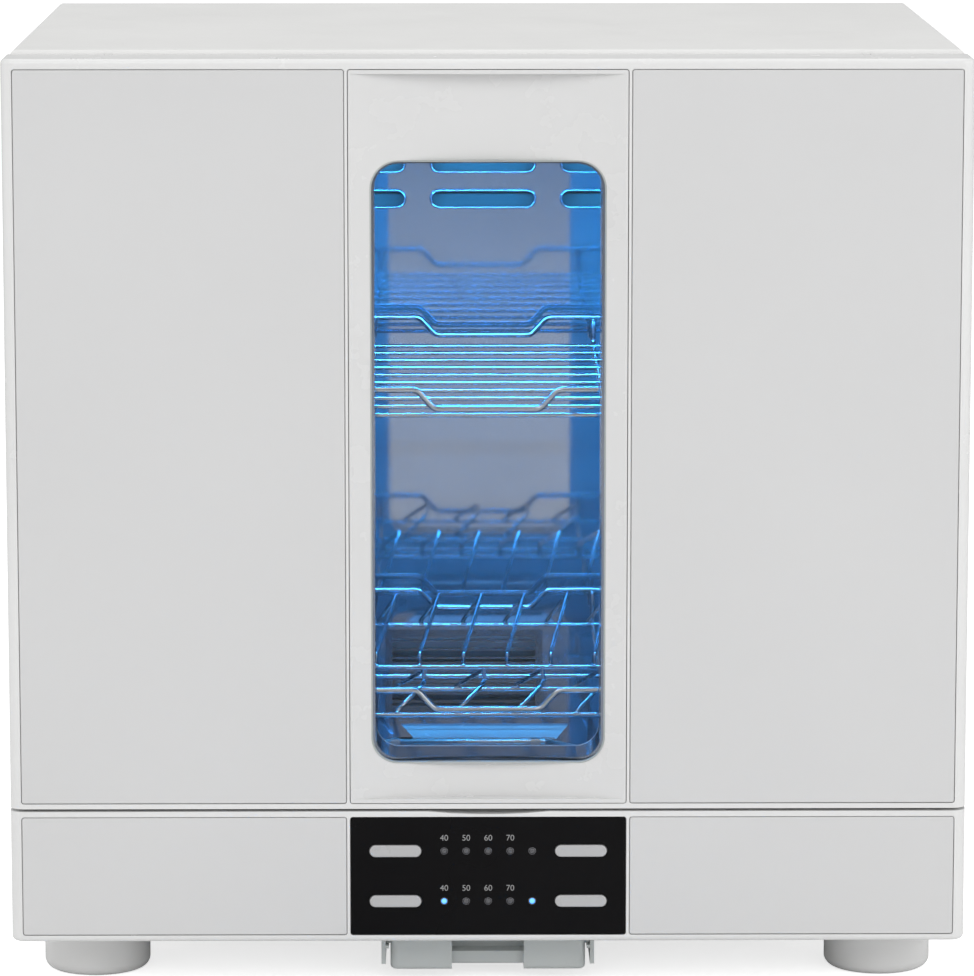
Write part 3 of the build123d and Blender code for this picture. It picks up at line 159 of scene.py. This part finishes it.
seal = moulded("seal", (0.42, 0.43, 0.44), 0.62, grain=1500.0, depth=0.0001)
inner_plastic = moulded("inner_plastic", (0.30, 0.31, 0.32), 0.45)
board = moulded("board", (0.03, 0.16, 0.07), 0.35, spread=0.01)
dark_metal = moulded("dark_metal", (0.05, 0.05, 0.055), 0.4, grain=900.0, spread=0.01)
magnet = moulded("magnet", (0.09, 0.09, 0.09), 0.6, grain=1200.0, depth=0.0001)
stainless = metal("stainless", (0.51, 0.55, 0.64), 0.045, (1.0, 1.0, 0.04), 420.0, 0.000002)
set_value(stainless, "Metallic", 0.86)      # the share left over is not metal, and mists the mirror
# painted shade: a darker copy of the stainless, so the window's inner ledge reads dark
shaded_surround_steel = metal("shaded_surround_steel", (0.30, 0.33, 0.40), 0.10, (0.1, 1.0, 1.0), 400.0, 0.000003)
grille_steel = metal("grille_steel", (0.34, 0.37, 0.43), 0.16, grain=700.0)
# painted shade: a darker copy of the stainless, so the chamber's floor reads dark
shaded_floor_steel = metal("shaded_floor_steel", (0.40, 0.44, 0.52), 0.05, (0.04, 1.0, 1.0), 420.0, 0.000002)
steel_bracket = metal("steel_bracket", (0.50, 0.50, 0.50), 0.34, (0.1, 1.0, 1.0), 500.0)
aluminium = metal("aluminium", (0.72, 0.72, 0.73), 0.28, (0.05, 1.0, 1.0), 600.0)
wire = metal("wire", (0.66, 0.69, 0.72), 0.10, grain=240.0, depth=0.00002, spread=0.02)
screw_steel = metal("screw_steel", (0.62, 0.62, 0.63), 0.3, grain=900.0)

window = new_material("window", roughness=0.02, ior=1.49, alpha=0.14, specular_ior_level=0.5)
shade(window, noise(window, 7.0, detail=2.0), (0.020, 0.036, 0.044), (0.026, 0.044, 0.052))
relief(window, noise(window, 30.0), 0.05, 0.0001)

lamp_glass = new_material("lamp_glass", roughness=0.08, emission_strength=5.0)
shade(lamp_glass, noise(lamp_glass, 60.0), (0.30, 0.55, 0.90), (0.40, 0.65, 1.0))
set_value(lamp_glass, "Emission Color", (0.10, 0.42, 1.0, 1.0))

lens_dark = new_material("lens_dark", roughness=0.12, ior=1.5, coat_weight=0.8, coat_roughness=0.03)
shade(lens_dark, noise(lens_dark, 1500.0), (0.05, 0.05, 0.055), (0.09, 0.09, 0.10))
lens_lit = new_material("lens_lit", roughness=0.2, emission_strength=1.15)
shade(lens_lit, noise(lens_lit, 900.0), (0.02, 0.25, 0.8), (0.03, 0.35, 0.9))
ink = moulded("ink", (0.32, 0.32, 0.32), 0.5, grain=2500.0, depth=0.00001)

COVER_SHEET_INNER, COVER_SHEET_OUTER = 0.9, 0.4   # depths between which the rear cover's inner face turns to painted shade
rear_steel = moulded("rear_steel", (0.80, 0.80, 0.79), 0.42, grain=1100.0, depth=0.00008)


def paint_cover_shade():
    """The rear cover is powder-coated outside; its inner face gets a dark grey that is painted shade behind
    the chamber's slots.
    """
    tree = rear_steel.node_tree
    shader = tree.nodes["Principled BSDF"]
    coated = shader.inputs["Base Color"].links[0].from_socket
    place = tree.nodes.new("ShaderNodeTexCoord")
    parts = tree.nodes.new("ShaderNodeSeparateXYZ")
    inside = tree.nodes.new("ShaderNodeMapRange")
    inside.inputs["From Min"].default_value = (BACK_Y - COVER_SHEET_INNER) * MM
    inside.inputs["From Max"].default_value = (BACK_Y - COVER_SHEET_OUTER) * MM
    shade_mix = tree.nodes.new("ShaderNodeMix")
    shade_mix.data_type = "RGBA"
    # painted shade: the dark grey given to the rear cover's inner face
    shade_mix.inputs["A"].default_value = (0.16, 0.165, 0.17, 1.0)
    tree.links.new(place.outputs["Object"], parts.inputs["Vector"])
    tree.links.new(parts.outputs["Y"], inside.inputs["Value"])
    tree.links.new(inside.outputs["Result"], shade_mix.inputs["Factor"])
    tree.links.new(coated, shade_mix.inputs["B"])
    tree.links.new(shade_mix.outputs["Result"], shader.inputs["Base Color"])


FINISH = {
    "white_abs": white_abs, "pale_insert": pale_insert, "white_steel": white_steel,
    "black_panel": black_panel, "button_cap": button_cap, "stainless": stainless,
    "steel_bracket": steel_bracket, "wire": wire, "window": window, "lamp_glass": lamp_glass,
    "tray_plastic": tray_plastic, "seal": seal, "board": board, "inner_plastic": inner_plastic,
    "aluminium": aluminium, "dark_metal": dark_metal, "magnet": magnet, "lamp_lens": lens_dark,
}
OWN_FINISH = {
    "top_cover": cover_white, "door_center_panel": panel_white, "window_surround": shaded_surround_steel,
    "outlet_grille": grille_steel, "liner_floor": shaded_floor_steel, "rear_cover": rear_steel,
}
for row in frame["record"]["subparts"]:
    mesh = nodes[row["node"]].data
    mesh.materials.clear()
    mesh.materials.append(OWN_FINISH.get(row["node"], FINISH[row["material_slot"]]))


def glow_lens():
    """The lit lenses' glow: pale where the dome faces the view, deeper blue where it turns away."""
    tree = lens_lit.node_tree
    rim = tree.nodes.new("ShaderNodeLayerWeight")
    rim.inputs["Blend"].default_value = 0.4
    ramp = tree.nodes.new("ShaderNodeValToRGB")
    ramp.color_ramp.elements[0].color = (0.22, 0.55, 1.0, 1.0)
    ramp.color_ramp.elements[1].color = (0.0, 0.10, 1.0, 1.0)
    ramp.color_ramp.elements[1].position = 0.7
    tree.links.new(rim.outputs["Facing"], ramp.inputs["Fac"])
    tree.links.new(ramp.outputs["Color"], tree.nodes["Principled BSDF"].inputs["Emission Color"])


glow_lens()
paint_cover_shade()


# ================================================================ mesh helpers
def finish_piece(name, bm, material, body, smooth_angle=35.0):
    """Turn a bmesh, built in millimetres, into a piece that rides on a body."""
    bmesh.ops.recalc_face_normals(bm, faces=bm.faces)
    for face in bm.faces:
        face.smooth = True
    for edge in bm.edges:
        if len(edge.link_faces) == 2 and edge.calc_face_angle(0.0) > math.radians(smooth_angle):
            edge.smooth = False
    mesh = bpy.data.meshes.new(name)
    bm.to_mesh(mesh)
    bm.free()
    mesh.transform(Matrix.Scale(MM, 4))
    mesh.materials.append(material)
    piece = bpy.data.objects.new(name, mesh)
    bpy.context.scene.collection.objects.link(piece)
    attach(piece, body)
    return piece


def facing(centre, direction):
    """Place whose own Z points along direction."""
    turn = Vector(direction).to_track_quat("Z", "Y").to_matrix().to_4x4()
    return Matrix.Translation(Vector(centre)) @ turn


def join_rings(bm, rings, segments):
    """Faces between neighbouring rings; a ring of one point makes a tip."""
    for low, high in zip(rings, rings[1:]):
        for k in range(segments):
            nxt = (k + 1) % segments
            corners = [low[k % len(low)], low[nxt % len(low)], high[nxt % len(high)], high[k % len(high)]]
            bm.faces.new(list(dict.fromkeys(corners)))


def lathe(bm, profile, place, segments=24):
    """Turn (radius, height) points round the place's Z."""
    rings = []
    for radius, height in profile:
        if radius == 0:
            rings.append([bm.verts.new(place @ Vector((0.0, 0.0, height)))])
            continue
        rings.append([bm.verts.new(place @ Vector((radius * math.cos(2 * math.pi * k / segments),
                                                    radius * math.sin(2 * math.pi * k / segments), height)))
                      for k in range(segments)])
    join_rings(bm, rings, segments)


def add_screw(bm, centre, direction, radius=3.4, proud=0.85, segments=32):
    """A low pan head with a cross recess, lying on the surface at centre."""
    place = facing(centre, direction)
    shares = (0.0, 0.10, 0.17, 0.26, 0.36, 0.46, 0.52, 0.66, 0.82, 0.94, 1.0)
    arm_half, arm_reach = 0.13 * radius, 0.49 * radius
    rings = []
    for share in shares:
        ring = []
        for k in range(segments if share else 1):
            angle = 2 * math.pi * (k + 0.5) / segments
            x, y = share * radius * math.cos(angle), share * radius * math.sin(angle)
            height = proud * math.sqrt(max(0.0, 1.0 - 0.75 * share ** 3))
            in_cross = min(abs(x), abs(y)) < arm_half and max(abs(x), abs(y)) < arm_reach
            if in_cross:
                height -= 0.8 * proud
            ring.append(bm.verts.new(place @ Vector((x, y, max(height, 0.05)))))
        rings.append(ring)
    rings.append([bm.verts.new(place @ Vector((radius * math.cos(2 * math.pi * (k + 0.5) / segments),
                                               radius * math.sin(2 * math.pi * (k + 0.5) / segments), -0.1)))
                  for k in range(segments)])
    join_rings(bm, rings, segments)
    bm.faces.new(rings[-1])


def rounded_outline(half_x, half_z, mid_z, corner, steps=10):
    """Points round an upright rounded rectangle, as (x, z)."""
    points = []
    for quarter, (sx, sz) in enumerate(((1, 1), (-1, 1), (-1, -1), (1, -1))):
        for step in range(steps + 1):
            angle = math.pi / 2 * (quarter + step / steps)
            points.append((sx * (half_x - corner) + corner * math.cos(angle),
                           mid_z + sz * (half_z - corner) + corner * math.sin(angle)))
    return points


def concave_y(x):
    """Y of the door's hollow centre panel at this X."""
    return CONCAVE_AXIS_Y + math.sqrt(CONCAVE_RADIUS ** 2 - x ** 2)


def rounded(points, bends, closed=False):
    """The points with each corner turned into a smooth bend that starts and ends so far from it."""
    points = [Vector(point) for point in points]
    count = len(points)
    if not isinstance(bends, (list, tuple)):
        bends = [bends] * count
    path = []
    for index, point in enumerate(points):
        if not closed and index in (0, count - 1):
            path.append(point)
            continue
        to_before, to_after = points[index - 1] - point, points[(index + 1) % count] - point
        turn = math.pi - to_before.angle(to_after)
        reach = min(bends[index] * math.tan(turn / 2), 0.49 * to_before.length, 0.49 * to_after.length)
        start, end = point + to_before.normalized() * reach, point + to_after.normalized() * reach
        for step in range(7):
            share = step / 6
            path.append(start * (1 - share) ** 2 + point * 2 * share * (1 - share) + end * share ** 2)
    return path


def tube(bm, path, radius, sides=12, closed=False):
    """Sweep a round wire along the path, with domed ends where it is open."""
    count = len(path)
    ahead = [(path[(k + 1) % count] - path[k - 1]).normalized() if closed or 0 < k < count - 1
             else (path[1] - path[0] if k == 0 else path[-1] - path[-2]).normalized() for k in range(count)]
    side = ahead[0].orthogonal().normalized()
    rings = []
    for point, along in zip(path, ahead):
        side = (side - along * side.dot(along)).normalized()
        up = along.cross(side)
        rings.append([bm.verts.new(point + (side * math.cos(2 * math.pi * k / sides)
                                            + up * math.sin(2 * math.pi * k / sides)) * radius)
                      for k in range(sides)])
    pairs = list(zip(rings, rings[1:] + ([rings[0]] if closed else [])))
    for low, high in pairs:
        for k in range(sides):
            bm.faces.new((low[k], low[(k + 1) % sides], high[(k + 1) % sides], high[k]))
    if not closed:
        for ring, tip, along in ((rings[0], path[0], -ahead[0]), (rings[-1], path[-1], ahead[-1])):
            dome = [bm.verts.new(tip + (vert.co - tip) * 0.7 + along * 0.5 * radius) for vert in ring]
            top = bm.verts.new(tip + along * 0.7 * radius)
            for k in range(sides):
                nxt = (k + 1) % sides
                bm.faces.new((ring[k], ring[nxt], dome[nxt], dome[k]))
                bm.faces.new((dome[k], dome[nxt], top))


def weld(bm, centre, size):
    """A small bead of weld where two wires cross."""
    place = Matrix.Translation(Vector(centre)) @ Matrix.Diagonal((*size, 1.0))
    bmesh.ops.create_icosphere(bm, subdivisions=2, radius=1.0, matrix=place)


# ================================================================ slots of the mirror back
BACK_SHEET_Y = 172.0
SLOT_LENGTH, SLOT_HEIGHT = 58.8, 9.7
SLOT_PITCH_X, SLOT_PITCH_Z = 73.5, 20.0
SLOT_ROWS, SLOT_COLUMNS = 3, 5
SLOT_TOP_Z = 445.0 - 38.4               # chamber's ceiling, less the top row's drop
LIP_RADIUS, LIP_PROUD = 0.85, 0.25
lips = bmesh.new()
for row in range(SLOT_ROWS):
    for column in range(SLOT_COLUMNS):
        slot_x = (column - (SLOT_COLUMNS - 1) / 2) * SLOT_PITCH_X
        slot_z = SLOT_TOP_Z - row * SLOT_PITCH_Z
        edge = rounded_outline(SLOT_LENGTH / 2, SLOT_HEIGHT / 2, slot_z, SLOT_HEIGHT / 2 - 0.01, 6)
        tube(lips, [Vector((slot_x + x, BACK_SHEET_Y - LIP_PROUD, z)) for x, z in edge], LIP_RADIUS, 8, True)
finish_piece("slot_lips", lips, stainless, "cabinet", 80.0)

# ================================================================ wire racks
RACK_HALF = 206.0
RACK_FRONT_Y = FRONT_Y + 51.0
RACK_BACK_Y = FRONT_Y + 345.0
RIM_RADIUS, CROSS_RADIUS, WIRE_RADIUS = 1.7, 1.5, 1.2
RACK_DEPTH = 15.0
CROSS_X = (-200.0, -131.0, -62.0, 62.0, 131.0, 200.0)
DIP_INNER, DIP_OUTER, DIP = 27.0, 36.0, 10.0
RACK_CORNER, WIRE_BEND = 12.0, 6.0
FLOOR_WIRE_HALF = 201.0
UPPER_RIM_Z, LOWER_RIM_Z = 302.0, 146.0
LOWER_FLOOR_Z = 131.0


def add_rack(bm, rim_z, wire_ys):
    """A rim that dips in the middle of its front and back, with wires welded across and along."""
    front = [(-RACK_HALF, rim_z), (-DIP_OUTER, rim_z), (-DIP_INNER, rim_z - DIP),
             (DIP_INNER, rim_z - DIP), (DIP_OUTER, rim_z), (RACK_HALF, rim_z)]
    corners = [(x, RACK_FRONT_Y, z) for x, z in front] + [(x, RACK_BACK_Y, z) for x, z in reversed(front)]
    bends = [RACK_CORNER] + [WIRE_BEND] * 4 + [RACK_CORNER]
    tube(bm, rounded(corners, bends + bends, True), RIM_RADIUS, 16, True)
    floor_z = rim_z - RACK_DEPTH
    trough_z = floor_z - WIRE_RADIUS - CROSS_RADIUS + 0.15
    for x in CROSS_X:
        hung = [(x, RACK_FRONT_Y, rim_z - 1.2), (x, RACK_FRONT_Y, trough_z),
                (x, RACK_BACK_Y, trough_z), (x, RACK_BACK_Y, rim_z - 1.2)]
        tube(bm, rounded(hung, WIRE_BEND), CROSS_RADIUS, 14)
        for y in (RACK_FRONT_Y, RACK_BACK_Y):
            weld(bm, (x, y, rim_z - 1.7), (2.3, 1.75, 1.3))
        for y in wire_ys:
            weld(bm, (x, y, floor_z - WIRE_RADIUS), (1.6, 1.6, 0.8))
    for y in wire_ys:
        run = [Vector((-FLOOR_WIRE_HALF + 2 * FLOOR_WIRE_HALF * k / 8, y, floor_z)) for k in range(9)]
        tube(bm, run, WIRE_RADIUS, 12)


upper = bmesh.new()
add_rack(upper, UPPER_RIM_Z, [FRONT_Y + 64.0 + 30.0 * n for n in range(10)])
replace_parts(finish_piece("upper_rack_wires", upper, wire, "upper_rack", 80.0), "upper_rack")

LOOP_FRONT, LOOP_BACK, DIVIDER_FRONT, DIVIDER_BACK = 62.0, 130.0, 192.0, 317.0
LOWER_YS = [FRONT_Y + setback for setback in (LOOP_FRONT, LOOP_BACK, 166.0, DIVIDER_FRONT, DIVIDER_BACK)]
lower = bmesh.new()
add_rack(lower, LOWER_RIM_Z, LOWER_YS)
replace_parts(finish_piece("lower_rack_wires", lower, wire, "lower_rack", 80.0), "lower_rack")

WELD_Z = LOWER_FLOOR_Z + WIRE_RADIUS
WELD_SIZE = (1.7, 1.7, 0.9)


def add_leaning_wires(bm, count, pitch, corners, bend, feet):
    """A row of bent wires; each corner is (sideways lean, setback, z)."""
    for n in range(count):
        x = (n - (count - 1) / 2) * pitch
        bent = [(x + lean, FRONT_Y + setback, z) for lean, setback, z in corners]
        tube(bm, rounded(bent, bend), WIRE_RADIUS, 12)
        for setback in feet:
            weld(bm, (x, FRONT_Y + setback, WELD_Z), WELD_SIZE)


dividers = bmesh.new()
add_leaning_wires(dividers, 16, 23.6, [(0.0, DIVIDER_FRONT, 132.2), (0.0, DIVIDER_FRONT, 138.5),
                                       (10.5, 262.0, 158.0), (0.0, DIVIDER_BACK, 133.2)],
                  2.8, (DIVIDER_FRONT, DIVIDER_BACK))
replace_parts(finish_piece("divider_wires", dividers, wire, "lower_rack", 80.0), "plate_dividers")

loops = bmesh.new()
add_leaning_wires(loops, 12, 31.0, [(0.0, LOOP_FRONT, 133.0), (14.0, 78.0, 144.7),
                                    (14.0, 114.0, 144.7), (0.0, LOOP_BACK, 133.0)],
                  12.0, (LOOP_FRONT, LOOP_BACK))
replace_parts(finish_piece("bowl_loop_wires", loops, wire, "lower_rack", 80.0), "bowl_loops")

sensor = bmesh.new()
SENSOR_Y, SENSOR_Z = -66.0, 102.8
SENSOR_RADIUS, SENSOR_BEND = 1.6, 4.0
CLIP_XS, CLIP_HALF = (-48.0, 26.0), 2.5
sensor_route = [(-54.0, SENSOR_Y, SENSOR_Z), (32.0, SENSOR_Y, SENSOR_Z), (47.0, -82.0, SENSOR_Z),
                (55.0, -100.0, SENSOR_Z), (55.0, -100.0, 94.8)]
tube(sensor, rounded(sensor_route, SENSOR_BEND), SENSOR_RADIUS, 14)
for x in CLIP_XS:
    clip = [(-3.2, 94.85), (-3.2, 95.6), (-2.3, 95.6), (-2.3, 102.9), (-1.6, 104.4), (0.0, 105.0),
            (1.6, 104.4), (2.3, 102.9), (2.3, 95.6), (3.2, 95.6), (3.2, 94.85)]
    ends = [[sensor.verts.new((x + shift, SENSOR_Y + dy, z)) for dy, z in clip]
            for shift in (-CLIP_HALF, CLIP_HALF)]
    sensor.faces.new(ends[0])
    sensor.faces.new(list(reversed(ends[1])))
    for k in range(len(clip)):
        nxt = (k + 1) % len(clip)
        sensor.faces.new((ends[0][k], ends[0][nxt], ends[1][nxt], ends[1][k]))
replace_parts(finish_piece("sensor_rod", sensor, steel_bracket, "cabinet"),
            "temperature_sensor")

# ================================================================ control panel
lamps = [((column - 2) * LAMP_PITCH, z) for z in LAMP_ROWS for column in range(5)]
LIT = (0, 4)
bezels = bmesh.new()
dark_lenses = bmesh.new()
lit_lenses = bmesh.new()
RIM = 0.42                              # width of the ring round each lamp
for count, (x, z) in enumerate(lamps):
    place = facing((x, FRONT_Y, z), (0, -1, 0))
    ring = [(LAMP_RADIUS + RIM, -0.05), (LAMP_RADIUS + RIM, 0.22), (LAMP_RADIUS + 0.7 * RIM, 0.34),
            (LAMP_RADIUS + 0.3 * RIM, 0.32), (LAMP_RADIUS - 0.05, 0.12), (LAMP_RADIUS - 0.05, -0.05)]
    lathe(bezels, ring + [ring[0]], place, 32)
    dome = [(LAMP_RADIUS - 0.08, 0.02)]
    dome += [((LAMP_RADIUS - 0.08) * math.cos(t), 0.02 + 0.55 * math.sin(t))
             for t in (0.25, 0.55, 0.85, 1.15, 1.4)]
    dome += [(0.0, 0.57)]
    lathe(lit_lenses if count in LIT else dark_lenses, dome, place, 28)
finish_piece("lamp_bezels", bezels, metal("bezel", (0.16, 0.16, 0.17), 0.25), "cabinet")
finish_piece("lamp_lenses_dark", dark_lenses, lens_dark, "cabinet")
finish_piece("lamp_lenses_lit", lit_lenses, lens_lit, "cabinet")

DIGIT_HEIGHT = 3.1
digits = bmesh.new()
for z in LAMP_ROWS:
    for column, number in enumerate(("40", "50", "60", "70")):
        text = bpy.data.curves.new("digit", "FONT")
        text.body = number
        text.size = DIGIT_HEIGHT * 1.38
        text.align_x = "CENTER"
        text.extrude = 0.03
        holder = bpy.data.objects.new("digit", text)
        bpy.context.scene.collection.objects.link(holder)
        bpy.context.view_layer.update()
        mesh = bpy.data.meshes.new_from_object(holder.evaluated_get(bpy.context.evaluated_depsgraph_get()))
        mesh.transform(Matrix.Translation(((column - 2) * LAMP_PITCH, FRONT_Y, z + 5.4))
                       @ Matrix.Rotation(math.pi / 2, 4, "X"))
        digits.from_mesh(mesh)
        bpy.data.objects.remove(holder)
        bpy.data.meshes.remove(mesh)
finish_piece("panel_digits", digits, ink, "cabinet")

# ================================================================ window edge
WINDOW_HALF_X, WINDOW_HALF_Z, WINDOW_MID_Z, WINDOW_CORNER = 58.95, 152.95, 270.5, 14.0
trim = bmesh.new()
outline = rounded_outline(WINDOW_HALF_X, WINDOW_HALF_Z, WINDOW_MID_Z, WINDOW_CORNER)
section = ((0.0, 0.15), (0.0, 3.2), (-0.75, 3.2), (-0.75, 0.45), (-0.45, 0.15))
rows = []
for index, (x, z) in enumerate(outline):
    before, after = outline[index - 1], outline[(index + 1) % len(outline)]
    along = Vector((after[0] - before[0], after[1] - before[1])).normalized()
    inward = Vector((-along[1], along[0]))
    row = []
    for side, back in section:
        px, pz = x - inward[0] * side, z - inward[1] * side
        row.append(trim.verts.new((px, concave_y(px) + back, pz)))
    rows.append(row)
for index, row in enumerate(rows):
    after = rows[(index + 1) % len(rows)]
    for k in range(len(section)):
        nxt = (k + 1) % len(section)
        trim.faces.new((row[k], row[nxt], after[nxt], after[k]))
finish_piece("window_trim", trim, moulded("trim", (0.44, 0.47, 0.46), 0.35), "door")

# ================================================================ screws
rear_screws = bmesh.new()
for side in (-1, 1):
    for z in (112.0, 275.0, 440.0):
        add_screw(rear_screws, (side * 230.0, BACK_Y, z), (0, 1, 0))
    add_screw(rear_screws, (side * 110.0, BACK_Y, 102.0), (0, 1, 0))
    add_screw(rear_screws, (side * 215.0, BACK_Y, 60.0), (0, 1, 0))
    add_screw(rear_screws, (side * 150.0, BACK_Y, 465.0), (0, 1, 0))
finish_piece("rear_screws", rear_screws, screw_steel, "cabinet")

under_screws = bmesh.new()
for x in (-150.0, -75.0, 75.0, 150.0):
    for y in (-160.0, 160.0):
        add_screw(under_screws, (x, y, BASE_LOW), (0, 0, -1))
finish_piece("under_screws", under_screws, screw_steel, "cabinet")

door_screws = bmesh.new()
for side in (-1, 1):
    for z in (150.0, 278.0, 410.0):
        add_screw(door_screws, (side * 230.0, DOOR_BACK_Y, z), (0, 1, 0), 3.0, 0.7)
    for z in (128.0, 270.0, 412.0):
        add_screw(door_screws, (side * 66.5, DOOR_BACK_Y, z), (0, 1, 0), 2.4, 0.6)
finish_piece("door_screws", door_screws, screw_steel, "door")

frame_screws = bmesh.new()
for side in (-1, 1):
    for offset in (-9.0, 9.0):
        add_screw(frame_screws, (side * 190.0 + offset, FRAME_FRONT_Y, 460.5), (0, -1, 0), 3.0, 0.7)
finish_piece("frame_screws", frame_screws, screw_steel, "cabinet")

# ================================================================ floor, lights and camera
FLOOR_LIFT = 0.7                        # added for camera rays only, so the light on the object stays
WORLD_LIGHT = 0.50                      # what lights the object; the camera itself sees 1.0
floor_mesh = bmesh.new()
bmesh.ops.create_grid(floor_mesh, x_segments=1, y_segments=1, size=30.0)
floor_data = bpy.data.meshes.new("floor")
floor_mesh.to_mesh(floor_data)
floor_mesh.free()
floor = bpy.data.objects.new("floor", floor_data)
bpy.context.scene.collection.objects.link(floor)
floor_paint = bpy.data.materials.new("floor_paint")
floor_paint.use_nodes = True
tree = floor_paint.node_tree
shader = tree.nodes["Principled BSDF"]
shader.inputs["Base Color"].default_value = (0.88, 0.88, 0.88, 1.0)
shader.inputs["Roughness"].default_value = 0.9
rays = tree.nodes.new("ShaderNodeLightPath")
lift = tree.nodes.new("ShaderNodeMath")
lift.operation = "MULTIPLY"
lift.inputs[1].default_value = FLOOR_LIFT
tree.links.new(rays.outputs["Is Camera Ray"], lift.inputs[0])
shader.inputs["Emission Color"].default_value = (1.0, 1.0, 1.0, 1.0)
tree.links.new(lift.outputs["Value"], shader.inputs["Emission Strength"])
floor_data.materials.append(floor_paint)

scene = bpy.context.scene
world = bpy.data.worlds.new("studio")
scene.world = world
world.use_nodes = True
tree = world.node_tree
background = tree.nodes["Background"]
background.inputs["Color"].default_value = (1.0, 1.0, 1.0, 1.0)
rays = tree.nodes.new("ShaderNodeLightPath")
level = tree.nodes.new("ShaderNodeMapRange")
level.inputs["To Min"].default_value = WORLD_LIGHT
level.inputs["To Max"].default_value = 1.0
tree.links.new(rays.outputs["Is Camera Ray"], level.inputs["Value"])
tree.links.new(level.outputs["Result"], background.inputs["Strength"])


def area_light(name, place, target, size, power, colour=(1.0, 1.0, 1.0)):
    """A rectangular soft light that looks at a point; all in metres and watts."""
    data = bpy.data.lights.new(name, "AREA")
    data.shape = "RECTANGLE"
    data.size, data.size_y = size
    data.energy = power
    data.color = colour
    lamp = bpy.data.objects.new(name, data)
    lamp.location = place
    lamp.rotation_mode = "QUATERNION"
    lamp.rotation_quaternion = (Vector(target) - Vector(place)).to_track_quat("-Z", "Y")
    scene.collection.objects.link(lamp)
    return lamp


area_light("key_light", (-0.9, -2.4, 2.1), (0, 0, 0.25), (1.8, 1.8), 21.0)
area_light("fill_light", (1.5, -2.0, 1.3), (0, 0, 0.25), (1.6, 1.6), 13.0)
area_light("top_light", (0.0, 0.4, 2.4), (0, 0, 0.4), (2.0, 2.0), 14.0)
area_light("left_light", (-2.3, -0.5, 0.9), (0, 0, 0.25), (1.2, 1.2), 7.0)
area_light("right_light", (2.3, -0.5, 0.9), (0, 0, 0.25), (1.2, 1.2), 7.0)

UV_BLUE = (0.04, 0.42, 1.0)
area_light("chamber_light", (0, -0.111, 0.419), (0, 0.17, 0.28), (0.28, 0.02), 3.0, UV_BLUE)

camera_data = bpy.data.cameras.new("camera")
camera = bpy.data.objects.new("camera", camera_data)
scene.collection.objects.link(camera)
camera_data.sensor_fit = "HORIZONTAL"
camera_data.sensor_width = 36.0
FOCAL_PIXELS = 5375.0
IMAGE_WIDTH = 974.0
camera_data.lens = FOCAL_PIXELS / IMAGE_WIDTH * camera_data.sensor_width
camera_data.clip_start = 0.1
camera_data.clip_end = 100.0
camera.location = (-0.0215, -2.8555, 0.6826)
camera.rotation_euler = (math.radians(90.0 - 9.04), 0.0, math.radians(-0.45))
scene.camera = camera

scene.view_settings.view_transform = "Standard"
